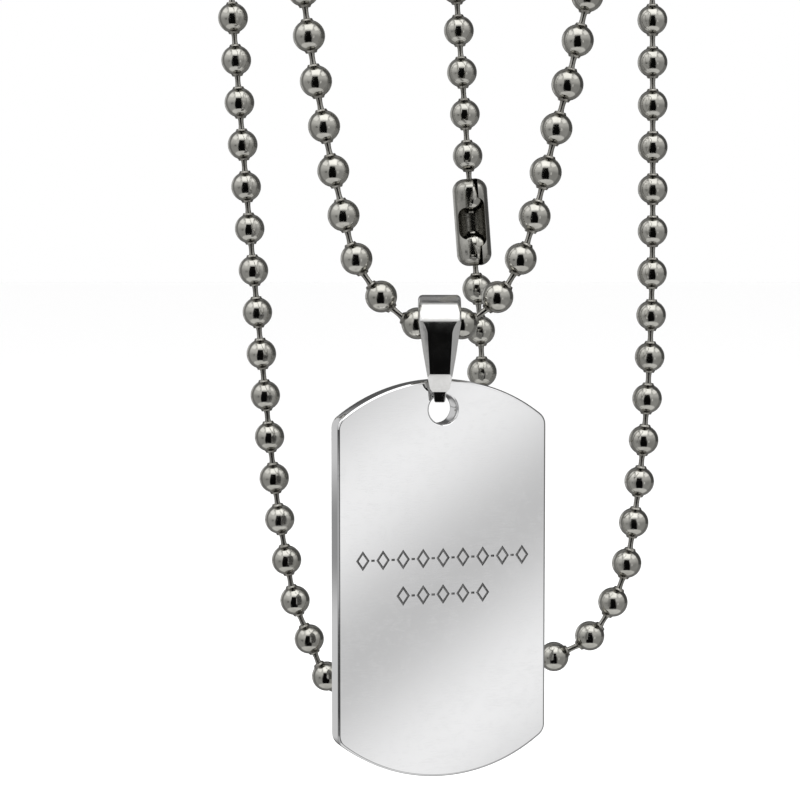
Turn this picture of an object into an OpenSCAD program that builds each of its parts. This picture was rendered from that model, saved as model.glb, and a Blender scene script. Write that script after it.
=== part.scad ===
// Identification tag: a polished steel plate that hangs by a folded bail from a closed ball chain.
// Millimetres, +Z up, front towards -Y. The origin is the point from which the chain hangs.

/* [Plate] */
// Width of the plate
tag_w = 22; // [16:0.5:28]
// Height of the plate, over both arched ends
tag_h = 40; // [32:0.5:50]
// Thickness of the plate
tag_t = 2.4; // [1.6:0.1:3]
// Radius of the arched top and bottom
tag_arc_r = 17; // [15:0.5:24]
// Radius of the four corners
tag_corner_r = 1.5; // [0.8:0.1:2.5]
// Width of the bright chamfer round both faces
tag_edge = 0.2; // [0.1:0.05:0.3]
// Diameter of the hole
hole_d = 2.95; // [2.6:0.05:3.4]
// Chamfer round the hole
hole_edge = 0.1; // [0.05:0.01:0.15]
// Metal left between the hole and the top of the plate
hole_rim = 1.5; // [1:0.1:2.5]
// Turn of the plate about the vertical, left edge nearer
tag_turn = 18; // [12:1:20]

/* [Engraved rows] */
// Depth of the engraving
cut_depth = 0.12; // [0.05:0.01:0.3]
// Width of an engraved line
cut_w = 0.22; // [0.15:0.01:0.35]
// Length of the short bars between the lozenges
bar_l = 0.35; // [0.2:0.05:0.4]
// Height of one lozenge
lozenge_h = 2; // [1.2:0.1:2.8]
// Width of one lozenge
lozenge_w = 1.4; // [1:0.1:1.6]
// Distance from one lozenge to the next
lozenge_step = 2.1; // [1.8:0.1:2.4]
// Lozenges in the upper row
upper_count = 9; // [5:2:9]
// Lozenges in the lower row
lower_count = 5; // [3:2:7]
// Height of the upper row over the middle of the plate
upper_row_z = 2.15; // [0:0.05:6]
// Distance between the two rows
row_step = 3.65; // [3:0.05:6]

/* [Bail] */
// Width of the bail over the chain
bail_w = 4.25; // [3.6:0.05:5]
// Width of the bail at its foot
bail_tip_w = 1.9; // [1.4:0.05:2.4]
// Outer radius of the bail's loop
bail_r = 3.65; // [3.3:0.05:4]
// Thickness of the bail's strap
bail_t = 0.95; // [0.7:0.05:1.2]
// Length of a leg, from the chain's middle to its foot
bail_leg = 6.7; // [6:0.1:9]
// Thickness of the strap at the crease over its feet
crease_t = 1.3; // [0.9:0.05:1.4]
// Thickness of the strap at the end of its feet
foot_t = 0.35; // [0.3:0.05:0.5]
// Thickness of the narrow lip under each foot
foot_lip = 0.3; // [0.25:0.05:0.4]
// Width of the lip where it leaves its foot
foot_lip_w = 1.45; // [1.2:0.05:1.6]
// Depth of the bevel along the strap's outer edges
bail_bevel = 0.45; // [0.2:0.05:0.55]
// Diameter of the pin through the plate
pin_d = 0.5; // [0.45:0.05:0.7]
// Height from the middle of the pin to the foot of a leg
pin_drop = 0.75; // [0.7:0.05:1.1]

/* [Chain] */
// Diameter of a bead
bead_d = 3.2; // [2.8:0.1:3.4]
// Wall of a hollow bead
bead_wall = 0.22; // [0.2:0.01:0.25]
// Space between one bead and the next
bead_gap = 1.3; // [1.1:0.05:1.6]
// Diameter of the holes in a bead
bead_hole_d = 0.88; // [0.86:0.01:0.95]
// How far the lip round a hole stands out of the bead
lip_out = 0.1; // [0.05:0.01:0.15]
// Wall of the lip, at its edge
lip_wall = 0.14; // [0.14:0.01:0.18]
// Diameter of a link's neck
neck_d = 0.65; // [0.6:0.01:0.67]
// Diameter of a link's heads
head_d = 1.34; // [1.3:0.01:1.4]
// Depth of a head's widest rim inside the bead
head_rim = 0.85; // [0.8:0.01:0.9]
// Depth of a head's end inside the bead
head_end = 1.06; // [1:0.01:1.1]

/* [Clasp] */
// Length of the clasp's sleeve
sleeve_l = 9.35; // [9:0.05:10]
// Wall of the sleeve
sleeve_wall = 0.15; // [0.15:0.01:0.25]
// Radius of the sleeve's rounded ends
end_round = 1.3; // [1:0.05:1.4]
// Diameter of the holes in the sleeve's ends
end_hole_d = 1.2; // [1.1:0.05:1.3]
// Length of the long window
window_l = 5.2; // [4.5:0.1:5.8]
// Width of the long window
window_w = 1.6; // [1.3:0.05:1.8]
// Distance of both windows from the sleeve's middle line
window_x = 0.6; // [0.5:0.05:0.7]
// Height of the short window's middle over the long one's
window_low = -0.1; // [-0.5:0.05:0.5]
// Length of the short window
short_window_l = 3.4; // [2.8:0.1:4]
// Width of the short window
short_window_w = 1.75; // [1.4:0.05:1.9]
// Width of the slits to both ends of the sleeve
slit_w = 0.5; // [0.3:0.05:0.7]

/* [Clearances] */
// Clearance of the bail round the beads
bail_clear = 0.3; // [0.2:0.05:0.4]
// Clearance of the bail's legs beside the plate
leg_clear = 0.4; // [0.3:0.05:0.6]
// Clearance of the pin under the rim of the hole
pin_clear = 0.15; // [0.1:0.01:0.25]
// Clearance of the beads in the sleeve
sleeve_clear = 0.11; // [0.11:0.01:0.15]

/* [Hidden] */

// The chain's route, a closed loop from the middle of the bail's link, first up the right of the front V.
ROUTE = [
    // Front V, right side
    [0, -10.5, -58.5], [2.3, -10.5, -58.3], [5.5, -10.5, -56], [7.8, -10.5, -52.5], [9.3, -10.5, -48.2],
    [11.4, -10.5, -39.7], [13.5, -10.5, -31], [15, -10.5, -23],
    // Over the support to the strand with the clasp
    [15.5, -10, -12], [14, -7, -4], [9, 0, 0], [4, 7, -4], [2, 10, -12],
    [2, 10.5, -22], [3, 10.5, -36.5], [3.8, 10.5, -48.3], [4.5, 10.5, -57],
    // Narrow bight behind the plate, and up behind the clasp
    [4.8, 10.5, -61.5], [5, 10.5, -67.65], [5.2, 12.6, -72.55], [5.3, 17.5, -74.65], [5.3, 22.4, -72.55],
    [5.42, 24.5, -67.65], [5.2, 24.5, -61.5], [4.81, 24.5, -56], [4.02, 24.5, -46], [3.21, 24.5, -34],
    [2.36, 24.5, -22],
    // Over the support to the rear U
    [2.47, 24.2, -12], [3.98, 23.11, -4.5], [12.5, 18, 0], [21.02, 12.32, -4.5], [22.84, 10.76, -12],
    // Rear U, right side
    [23, 10.5, -22], [23.2, 10.5, -42], [23.2, 10.5, -54], [22.9, 10.5, -65], [22, 10.5, -76], [20.7, 10.5, -85],
    [19.4, 10.5, -89], [17.3, 10.5, -92.6], [13.7, 10.5, -95], [8, 10.5, -97.5], [2, 10.5, -99.7],
    // Rear U, left side
    [-4, 10.5, -101.3], [-8.6, 10.5, -100.6], [-11.8, 10.5, -97.8], [-13.7, 10.5, -93.8], [-15.3, 10.5, -89.5],
    [-16.9, 10.5, -81], [-18, 10.5, -72], [-19, 10.5, -61.5], [-20.2, 10.5, -48], [-21.2, 10.5, -35],
    [-22.1, 10.5, -22],
    // Over the support to the front V
    [-22.5, 10, -12], [-21.7, 7, -4], [-18.5, 0, 0], [-15.2, -7, -4], [-14, -10, -12],
    // Front V, left side
    [-13.7, -10.5, -23], [-12.8, -10.5, -31], [-11.3, -10.5, -39.7], [-9.4, -10.5, -48.2], [-8, -10.5, -52.5],
    [-5.5, -10.5, -56], [-2.3, -10.5, -58.3]
];
// The point of the route at the middle of the clasp
CLASP_POINT = 15;
// Steps from one point of the route to the next
ROUTE_STEPS = 10;
// Links behind the clasp that hang drawn out: links before them from the clasp, their number, share of a bead gap
DRAWN = [[8, 3, 0.173], [11, 3, 0.377], [14, 5, 0.1385]];

// Outline of a leg seen from the front: share of the leg's length, share from foot width to full width
LEG_OUTLINE = [[0, 0.94], [0.16, 0.8], [0.45, 0.56], [0.72, 0.29], [0.95, 0.02], [1, -0.2]];
// Share of the leg's length at the crease over the foot
CREASE = 0.73;
// Widening of a hole at its edge, as a share of the lip's height over the bead
LIP_FLARE = 0.7;
// End of a link's head, as a share of its rim
HEAD_TIP = 0.7;
// Length of a head's cone over its height
HEAD_SLOPE = 1.3;
// Passes that settle the beads between their links
SETTLE_PASSES = 5;
// Outline of a foot's lip round the pin, as shares of the pin's diameter
LIP_END = [[1.1, -0.3], [0.9, -0.6]];
// Half width of a leg beside the plate's top, as a share of the foot's width
LEG_SPREAD = 0.65;
// Half width at which the loop's side bevel starts, as a share of the full half width
BEVEL_START = 0.93;
// Share of the loop's bevel at the middle point of its rounded edge
EDGE_ROUND = 0.3;
// How far a cutting shape stands out of what it cuts: through a thin lip, and elsewhere
SKIN = 0.01;
PAST = 1;
// Half width of the strap's flat facet, as a share of the full half width: at the chain, at the crease
FACET = [0.58, 0.47];

bead_r = bead_d / 2;
bead_in = bead_r - bead_wall;
// Furthest reach of a bead, at its lips
lip_r = bead_r + lip_out;
// The lip flares where it meets the bead
lip_foot = 2.3 * lip_wall;
// Depth at which a head leaves the neck
head_root = head_rim - (head_d - neck_d) * HEAD_SLOPE / 2;
pitch = bead_d + bead_gap;
loop_in = bail_r - bail_t;
// Height of the loop's middle: its top lies on the beads
loop_z = bead_r + bail_clear - loop_in;
pin_z = -(bail_leg + pin_drop);
plate_top = -pin_z - pin_d / 2 - pin_clear - hole_rim;
crease_z = -bail_leg * CREASE;
// The legs stand clear of the turned plate where it reaches furthest out under them
leg_in = bail_tip_w * LEG_SPREAD * tan(tag_turn) + tag_t / 2 / cos(tag_turn) + leg_clear;
sleeve_in = bead_r + sleeve_clear;
sleeve_out = sleeve_in + sleeve_wall;
// An end bead's lip also clears the inside of the rounded end
end_seat = sleeve_l / 2 - sleeve_wall - 1.5 * sleeve_clear - lip_r;

$fn = 0;
$fa = 5;
$fs = 0.1;

// Route

function spline(a, b, c, d, t) =
    0.5 * (2 * b + (c - a) * t + (2 * a - 5 * b + 4 * c - d) * t * t + (3 * b - a - 3 * c + d) * t * t * t);

route_n = len(ROUTE);
fine = [
    for (i = [0:route_n - 1], k = [0:ROUTE_STEPS - 1])
        spline(ROUTE[(i + route_n - 1) % route_n], ROUTE[i], ROUTE[(i + 1) % route_n],
               ROUTE[(i + 2) % route_n], k / ROUTE_STEPS)
];
fine_n = len(fine);
// Length along the route at each fine point, and at the end of the loop
run = [for (i = 0, s = 0; i <= fine_n; s = s + norm(fine[(i + 1) % fine_n] - fine[i % fine_n]), i = i + 1) s];
loop_length = run[fine_n];
route_x = [for (i = [0:fine_n]) [run[i], fine[i % fine_n][0]]];
route_y = [for (i = [0:fine_n]) [run[i], fine[i % fine_n][1]]];
route_z = [for (i = [0:fine_n]) [run[i], fine[i % fine_n][2]]];

function wrap(s) = s < 0 ? s + loop_length : s >= loop_length ? s - loop_length : s;
function place(s) = [lookup(wrap(s), route_x), lookup(wrap(s), route_y), lookup(wrap(s), route_z)];
function unit(v) = v / norm(v);
function along(s) = unit(place(s + pitch / 4) - place(s - pitch / 4));

// Beads run from the sleeve's lower end, by the rear strands and the front V, to its upper end
clasp_run = run[CLASP_POINT * ROUTE_STEPS];
right_run = clasp_run - end_seat;
left_run = loop_length - clasp_run - end_seat;
// Length that the drawn-out links add over the first i links from the clasp
function drawn(i, row = 0) = row == len(DRAWN) ? 0 :
    min(max(i - DRAWN[row][0], 0), DRAWN[row][1]) * DRAWN[row][2] * bead_gap + drawn(i, row + 1);
last_drawn = DRAWN[len(DRAWN) - 1];
even_run = left_run - drawn(last_drawn[0] + last_drawn[1]);
right_n = round(right_run / pitch + 0.5);
left_n = round(even_run / pitch + 0.5);
right_pitch = right_run / (right_n - 0.5);
left_pitch = even_run / (left_n - 0.5);
bead_runs = concat(
    [for (i = [0:left_n - 1]) i * left_pitch + drawn(i) - left_run],
    [for (i = [0:right_n - 1]) (i + 0.5) * right_pitch]
);
bead_n = len(bead_runs);
bead_at = [for (s = bead_runs) place(s)];
// A link runs from the hole of one bead to the hole of the next
function link_vector(i, dirs) = bead_at[i + 1] - bead_at[i] - (dirs[i] + dirs[i + 1]) * bead_in;
// A bead turns towards the middle between the directions of its two links, pass by pass
function settled(dirs, passes) = passes == 0 ? dirs : settled([
    for (i = [0:bead_n - 1])
        i == 0 || i == bead_n - 1
            ? dirs[i]
            : unit(dirs[i] + unit(unit(link_vector(i, dirs)) + unit(link_vector(i - 1, dirs))))
], passes - 1);
bead_dir = settled([for (s = bead_runs) along(s)], SETTLE_PASSES);
split = round(bead_n * 0.45);
// Middle of the link that the bail hangs on
bail_at = (bead_at[left_n - 1] + bead_at[left_n]) / 2;

module stand_along(at, dir) {
    translate(at) rotate([0, acos(dir[2]), atan2(dir[1], dir[0])]) children();
}

// Ball chain

module bead() {
    hole_r = bead_hole_d / 2;
    rotate_extrude() difference() {
        union() {
            intersection() {
                circle(r = bead_r);
                translate([0, -bead_d]) square([bead_d, bead_d * 2]);
            }
            polygon([[0, -lip_r], [hole_r + lip_wall, -lip_r], [hole_r + lip_foot, -bead_in],
                     [hole_r + lip_foot, bead_in], [hole_r + lip_wall, lip_r], [0, lip_r]]);
        }
        circle(r = bead_in);
        for (side = [-1, 1])
            polygon([[0, side * bead_in / 2], [hole_r, side * bead_in / 2], [hole_r, side * (bead_in + lip_out)],
                     [hole_r + lip_out * LIP_FLARE, side * (lip_r + SKIN)], [0, side * (lip_r + SKIN)]]);
    }
}

// A link lies along Z, its neck between two holes and its heads inside their beads
module link(span) {
    neck_r = neck_d / 2;
    head_r = head_d / 2;
    half = span / 2;
    rotate_extrude() polygon([
        for (side = [-1, 1]) each side < 0
            ? [[0, -half - head_end], [head_r * HEAD_TIP, -half - head_end], [head_r, -half - head_rim],
               [neck_r, -half - head_root]]
            : [[neck_r, half + head_root], [head_r, half + head_rim], [head_r * HEAD_TIP, half + head_end],
               [0, half + head_end]]
    ]);
}

module chain_stretch(first, last) {
    for (i = [first:last]) stand_along(bead_at[i], bead_dir[i]) bead();
    for (i = [first:min(last, bead_n - 2)]) {
        middle = (bead_at[i] + bead_at[i + 1] + (bead_dir[i] - bead_dir[i + 1]) * bead_in) / 2;
        reach = link_vector(i, bead_dir);
        stand_along(middle, unit(reach)) link(norm(reach));
    }
}

module rear_chain() {
    color([0.52, 0.51, 0.48]) chain_stretch(0, split - 1);
}

module front_chain() {
    color([0.52, 0.51, 0.48]) chain_stretch(split, bead_n - 1);
}

// Clasp: a rolled sleeve that holds both end beads

module sleeve_body(r, half, round_r) {
    rotate_extrude() {
        translate([0, round_r - half]) square([r, 2 * (half - round_r)]);
        translate([0, -half]) square([r - round_r, 2 * half]);
        for (side = [-1, 1]) intersection() {
            translate([r - round_r, side * (half - round_r)]) circle(r = round_r);
            translate([0, -half]) square([r, 2 * half]);
        }
    }
}

// A slot with round ends through the front wall, its middle at x, z
module front_slot(x, z, w, l) {
    translate([x, 0, z]) rotate([90, 0, 0]) linear_extrude(height = sleeve_out + PAST) {
        square([w, l - w], center = true);
        for (side = [-1, 1]) translate([0, side * (l - w) / 2]) circle(d = w);
    }
}

module clasp() {
    up = -along(clasp_run);
    color([0.58, 0.57, 0.54]) translate(place(clasp_run)) rotate([0, atan2(up[0], up[2]), 0]) difference() {
        sleeve_body(sleeve_out, sleeve_l / 2, end_round);
        sleeve_body(sleeve_in, sleeve_l / 2 - sleeve_wall, end_round - sleeve_wall);
        cylinder(h = sleeve_l + 2 * PAST, d = end_hole_d, center = true);
        front_slot(window_x, 0, window_w, window_l);
        front_slot(-window_x, window_low, short_window_w, short_window_l);
        translate([window_x - slit_w / 2, -sleeve_out - PAST, -sleeve_l])
            cube([slit_w, sleeve_out + PAST, 2 * sleeve_l]);
    }
}

// Bail, about the middle of its link: X along the chain, legs down

// The strap seen along the chain
module strap_side() {
    intersection() {
        translate([0, loop_z]) difference() {
            circle(r = bail_r);
            circle(r = loop_in);
        }
        translate([-bail_r - PAST, loop_z]) square([2 * bail_r + 2 * PAST, bail_r + PAST]);
    }
    for (side = [-1, 1])
        polygon([[side * loop_in, loop_z], [side * bail_r, loop_z], [side * (leg_in + crease_t), crease_z],
                 [side * (leg_in + foot_t), -bail_leg], [side * leg_in, -bail_leg], [side * leg_in, crease_z]]);
}

// The bail seen from the front
module strap_front() {
    half = bail_w / 2;
    tip = bail_tip_w / 2;
    right = [for (row = LEG_OUTLINE) [tip + row[1] * (half - tip), -row[0] * bail_leg]];
    left = [for (i = [len(right) - 1:-1:0]) [-right[i][0], right[i][1]]];
    over = loop_z + bail_r + PAST;
    polygon(concat([[half, over], [half, bead_r / 2]], right, left, [[-half, bead_r / 2], [-half, over]]));
}

// What the rounded edges of the loop leave standing, and the whole room for the legs
module loop_room() {
    half = bail_w / 2;
    edge = bail_bevel;
    turn = edge * EDGE_ROUND;
    translate([0, 0, loop_z]) rotate([0, 90, 0]) rotate_extrude() polygon([
        [0, -half], [bail_r - edge, -half], [bail_r - turn, turn - half], [bail_r, edge - half],
        [bail_r, half - edge], [bail_r - turn, half - turn], [bail_r - edge, half], [0, half]
    ]);
    translate([-half, -2 * bail_r, loop_z - 2 * bail_leg]) cube([bail_w, 4 * bail_r, 2 * bail_leg]);
}

// The metal outside the bevel of the front leg's right edge
module bevel_cut() {
    half = bail_w / 2;
    top = [half * FACET[0], -bail_r, loop_z];
    foot = [half * FACET[1], -leg_in - crease_t, crease_z];
    side = [half * BEVEL_START, -bail_r + bail_bevel, loop_z];
    n = unit(cross(foot - top, side - top));
    stand_along(top, n) translate([-3 * bail_leg, -3 * bail_leg, 0]) cube([6 * bail_leg, 6 * bail_leg, bail_leg]);
}

module bail() {
    lip_z = -bail_leg + pin_d;
    color([0.7, 0.7, 0.69]) translate(bail_at) {
        difference() {
            intersection() {
                rotate([90, 0, 90]) linear_extrude(height = bail_w + PAST, center = true) strap_side();
                rotate([90, 0, 0]) linear_extrude(height = 4 * bail_r, center = true) strap_front();
                loop_room();
            }
            for (x = [0, 1], y = [0, 1]) mirror([x, 0, 0]) mirror([0, y, 0]) bevel_cut();
        }
        // The narrow lip of each foot, which holds the pin
        for (side = [-1, 1]) translate([0, side * (leg_in + foot_lip / 2), 0]) rotate([90, 0, 0])
            linear_extrude(height = foot_lip, center = true) polygon(concat(
                [[foot_lip_w / 2, lip_z], [-foot_lip_w / 2, lip_z]],
                [for (p = LIP_END) [-p[0] * pin_d, pin_z + p[1] * pin_d]],
                [for (i = [len(LIP_END) - 1:-1:0]) [LIP_END[i][0] * pin_d, pin_z + LIP_END[i][1] * pin_d]]
            ));
        translate([0, 0, pin_z]) rotate([90, 0, 0]) cylinder(h = 2 * leg_in + foot_lip, d = pin_d, center = true);
    }
}

// Plate, about its own middle, face towards -Y

module plate_disc(r) {
    rotate([90, 0, 0]) rotate_extrude() polygon([
        [0, -tag_t / 2], [r - tag_edge, -tag_t / 2], [r, -tag_t / 2 + tag_edge],
        [r, tag_t / 2 - tag_edge], [r - tag_edge, tag_t / 2], [0, tag_t / 2]
    ]);
}

module plate_blank() {
    arc_z = tag_h / 2 - tag_arc_r;
    corner_x = tag_w / 2 - tag_corner_r;
    reach = tag_arc_r - tag_corner_r;
    corner_z = arc_z + sqrt(reach * reach - corner_x * corner_x);
    slope = [corner_x, corner_z - arc_z] / reach;
    far = 3 * tag_corner_r;
    difference() {
        intersection() {
            for (side = [-1, 1]) translate([0, 0, side * arc_z]) plate_disc(tag_arc_r);
            linear_extrude(height = tag_h + 2 * PAST, center = true) polygon([
                [-tag_w / 2, tag_edge - tag_t / 2], [tag_edge - tag_w / 2, -tag_t / 2],
                [tag_w / 2 - tag_edge, -tag_t / 2], [tag_w / 2, tag_edge - tag_t / 2],
                [tag_w / 2, tag_t / 2 - tag_edge], [tag_w / 2 - tag_edge, tag_t / 2],
                [tag_edge - tag_w / 2, tag_t / 2], [-tag_w / 2, tag_t / 2 - tag_edge]
            ]);
        }
        for (x = [0, 1], z = [0, 1]) mirror([x, 0, 0]) mirror([0, 0, z])
            translate([corner_x, 0, corner_z]) rotate([90, 0, 0]) linear_extrude(height = 2 * tag_t, center = true)
                polygon([[0, 0], [far, 0], [far, far], slope * far]);
    }
    for (x = [-1, 1], z = [-1, 1]) translate([x * corner_x, 0, z * corner_z]) plate_disc(tag_corner_r);
}

module lozenge_row(count, z) {
    w = lozenge_w / 2;
    h = lozenge_h / 2;
    // The line's width, measured square to a side, gives the inner lozenge
    keep = 1 - cut_w * norm([w, h]) / (w * h);
    translate([0, -tag_t / 2 + cut_depth, z]) rotate([90, 0, 0]) linear_extrude(height = PAST) {
        for (i = [0:count - 1]) translate([(i - (count - 1) / 2) * lozenge_step, 0]) difference() {
            polygon([[-w, 0], [0, -h], [w, 0], [0, h]]);
            polygon([[-w, 0] * keep, [0, -h] * keep, [w, 0] * keep, [0, h] * keep]);
        }
        for (i = [0:count - 2]) translate([(i - count / 2 + 1) * lozenge_step, 0])
            square([bar_l, cut_w], center = true);
    }
}

module dog_tag() {
    hole_z = tag_h / 2 - hole_rim - hole_d / 2;
    color([0.86, 0.86, 0.87])
        translate(bail_at + [0, 0, -plate_top - tag_h / 2]) rotate([0, 0, tag_turn]) difference() {
            plate_blank();
            translate([0, 0, hole_z]) rotate([90, 0, 0]) {
                cylinder(h = tag_t + 2 * PAST, d = hole_d, center = true);
                for (side = [0, 1]) mirror([0, 0, side]) translate([0, 0, tag_t / 2 - hole_edge])
                    cylinder(h = 2 * hole_edge, r1 = hole_d / 2, r2 = hole_d / 2 + 2 * hole_edge);
            }
            lozenge_row(upper_count, upper_row_z);
            lozenge_row(lower_count, upper_row_z - row_step);
        }
}

dog_tag();
bail();
clasp();
front_chain();
rear_chain();
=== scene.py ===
"""Looks of an identification tag on a closed ball chain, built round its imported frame.

Sizes are millimetres in named fields, places are read from the frame, and meshes are in metres.
"""

from __future__ import annotations

import logging
import math
from dataclasses import dataclass
from enum import Enum
from typing import Callable, Iterable, Sequence, Union

import bmesh
import bpy
import numpy as np
from mathutils import Matrix, Vector

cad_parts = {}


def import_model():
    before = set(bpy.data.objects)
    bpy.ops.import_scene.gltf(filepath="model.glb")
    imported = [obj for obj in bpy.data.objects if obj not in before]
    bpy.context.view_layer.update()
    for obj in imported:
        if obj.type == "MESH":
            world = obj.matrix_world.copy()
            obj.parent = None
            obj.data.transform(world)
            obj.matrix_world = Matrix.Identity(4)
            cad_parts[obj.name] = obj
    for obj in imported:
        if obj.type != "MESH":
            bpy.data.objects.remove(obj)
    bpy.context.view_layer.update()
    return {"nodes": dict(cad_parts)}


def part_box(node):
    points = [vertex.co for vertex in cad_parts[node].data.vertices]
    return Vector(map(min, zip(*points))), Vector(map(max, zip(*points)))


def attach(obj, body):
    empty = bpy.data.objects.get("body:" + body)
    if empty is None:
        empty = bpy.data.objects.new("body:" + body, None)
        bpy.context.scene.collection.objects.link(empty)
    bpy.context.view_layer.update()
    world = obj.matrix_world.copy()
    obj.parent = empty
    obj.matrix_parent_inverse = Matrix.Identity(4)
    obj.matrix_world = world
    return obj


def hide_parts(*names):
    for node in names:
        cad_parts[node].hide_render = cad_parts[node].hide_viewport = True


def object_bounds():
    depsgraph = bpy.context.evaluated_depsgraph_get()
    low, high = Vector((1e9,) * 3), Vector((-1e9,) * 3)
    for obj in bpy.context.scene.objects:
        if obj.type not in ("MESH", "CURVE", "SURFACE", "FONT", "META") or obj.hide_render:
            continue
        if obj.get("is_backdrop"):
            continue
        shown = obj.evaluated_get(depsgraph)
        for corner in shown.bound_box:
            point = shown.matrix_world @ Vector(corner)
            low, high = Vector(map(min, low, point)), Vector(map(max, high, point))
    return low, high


log = logging.getLogger("tag")

MM = 0.001
CLEAR = 1.0  # How far a cutter reaches past the metal, in millimetres.
ON_AXIS = 1e-9  # A profile's point nearer to its axis than this is one corner.
WELD = 0.002  # Corners nearer to each other than this, in millimetres, become one.
COPLANAR = 0.3  # Faces that meet at less than this many degrees become one.
FLAT_BEND = 0.1  # Bend in degrees from which the edge of a big flat face is sharp.
PAINTED_SHADE_MARK = "crevice"  # Corner attribute with the share of painted shade, a dark film colour in hollows, from 0 to 1.

Point = tuple[float, float]
Band = tuple[float, float, float, float]
Value = Union[float, bpy.types.NodeSocket]


class Solve(Enum):
    """How one solid meets another."""

    CUT = "DIFFERENCE"
    KEEP = "INTERSECT"
    JOIN = "UNION"


class Row(Enum):
    """The two engraved rows, by their place from the top."""

    UPPER = 0
    LOWER = 1


# Meshes


def make_object(name: str, points: Iterable[Sequence[float]],
                faces: Iterable[Sequence[int]]) -> bpy.types.Object:
    """Makes an object at the origin from points in millimetres.

    Args:
        name: Name of the object.
        points: Corners, in millimetres.
        faces: Corner numbers of each face, outward.

    Returns:
        The new object.
    """
    mesh = bpy.data.meshes.new(name)
    mesh.from_pydata([[c * MM for c in p] for p in points], [], [list(f) for f in faces])
    mesh.validate()
    obj = bpy.data.objects.new(name, mesh)
    bpy.context.scene.collection.objects.link(obj)
    return obj


def face_out(obj: bpy.types.Object) -> None:
    """Turns every face of a closed mesh outwards.

    Args:
        obj: The object.
    """
    bm = bmesh.new()
    bm.from_mesh(obj.data)
    bmesh.ops.recalc_face_normals(bm, faces=bm.faces)
    bm.to_mesh(obj.data)
    bm.free()


def prism(name: str, outline: Sequence[Point], low: float, high: float, turn: Matrix) -> bpy.types.Object:
    """Makes a prism on an outline.

    Args:
        name: Name of the object.
        outline: Corners of the outline, in millimetres.
        low: Height of the lower end along the outline's normal.
        high: Height of the upper end.
        turn: Turn and shift from the outline's own axes to the frame, in millimetres.

    Returns:
        The prism, facing outwards.
    """
    n = len(outline)
    points = [turn @ Vector((x, y, h)) for h in (low, high) for x, y in outline]
    faces = [[i, (i + 1) % n, n + (i + 1) % n, n + i] for i in range(n)]
    faces += [list(range(n))[::-1], list(range(n, 2 * n))]
    obj = make_object(name, points, faces)
    face_out(obj)
    return obj


def lathe(name: str, profile: Sequence[Point], sides: int, turn: Matrix,
          closed: bool = True) -> bpy.types.Object:
    """Turns a profile about its own Z axis.

    Args:
        name: Name of the object.
        profile: Radius and height of each point, in millimetres.
        sides: Number of sides round the axis.
        turn: Turn and shift to the frame, in millimetres.
        closed: Whether the last point joins the first. An open profile starts and ends on the axis.

    Returns:
        The turned solid, facing outwards.
    """
    points: list[Vector] = []
    rings: list[list[int]] = []
    for r, z in profile:
        count = 1 if r < ON_AXIS else sides
        rings.append([len(points) + (k if count > 1 else 0) for k in range(sides)])
        for k in range(count):
            a = 2 * math.pi * k / sides
            points.append(turn @ Vector((r * math.cos(a), r * math.sin(a), z)))
    faces = []
    for i in range(len(rings) if closed else len(rings) - 1):
        low, high = rings[i], rings[(i + 1) % len(rings)]
        for k in range(sides):
            j = (k + 1) % sides
            face = list(dict.fromkeys([low[k], low[j], high[j], high[k]]))
            if len(face) > 2:
                faces.append(face)
    obj = make_object(name, points, faces)
    face_out(obj)
    return obj


def settle(obj: bpy.types.Object) -> bpy.types.Object:
    """Turns an object's live modifiers into its plain mesh.

    Args:
        obj: The object.

    Returns:
        The same object.
    """
    bpy.context.view_layer.update()
    graph = bpy.context.evaluated_depsgraph_get()
    mesh = bpy.data.meshes.new_from_object(obj.evaluated_get(graph), depsgraph=graph)
    obj.modifiers.clear()
    mesh.validate()
    obj.data = mesh
    mesh.name = obj.name
    return obj


def carve(obj: bpy.types.Object, tools: Sequence[tuple[Solve, bpy.types.Object]]) -> bpy.types.Object:
    """Cuts, keeps or joins an object with tools, in their order, and removes the tools.

    Args:
        obj: The object.
        tools: What each tool does, and the tool.

    Returns:
        The same object.
    """
    for solve, tool in tools:
        step = obj.modifiers.new(solve.name.lower(), "BOOLEAN")
        step.operation = solve.value
        step.solver = "EXACT"
        step.material_mode = "TRANSFER"
        step.object = tool
    settle(obj)
    for _, tool in tools:
        bpy.data.objects.remove(tool)
    return obj


def soften(obj: bpy.types.Object, width: float, angle: float, segments: int = 2) -> None:
    """Rounds the sharp edges of a finished mesh.

    Args:
        obj: The object.
        width: Width of the rounding, in millimetres.
        angle: Edges sharper than this many degrees are rounded.
        segments: Faces across each rounding.
    """
    bm = bmesh.new()
    bm.from_mesh(obj.data)
    bmesh.ops.remove_doubles(bm, verts=bm.verts, dist=WELD * MM)
    bmesh.ops.dissolve_limit(bm, angle_limit=math.radians(COPLANAR), verts=bm.verts, edges=bm.edges)
    bm.to_mesh(obj.data)
    bm.free()
    step = obj.modifiers.new("soften", "BEVEL")
    step.width = width * MM
    step.segments = segments
    step.limit_method = "ANGLE"
    step.angle_limit = math.radians(angle)
    step.use_clamp_overlap = True
    step.harden_normals = False
    settle(obj)


def shade(obj: bpy.types.Object, angle: float, flat: float = 0.0) -> None:
    """Shades a mesh smooth, apart from its sharp edges and the edges of its big flat faces.

    Args:
        obj: The object.
        angle: Edges sharper than this many degrees stay sharp.
        flat: Area in square millimetres from which a face keeps its own normal, or 0 for none.
    """
    bm = bmesh.new()
    bm.from_mesh(obj.data)
    for face in bm.faces:
        face.smooth = True
    for edge in bm.edges:
        bend = edge.calc_face_angle(math.pi) if edge.is_manifold else math.pi
        big = flat and max(face.calc_area() for face in edge.link_faces) > flat * MM ** 2
        edge.smooth = bend < math.radians(FLAT_BEND if big else angle)
    bm.to_mesh(obj.data)
    bm.free()


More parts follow.
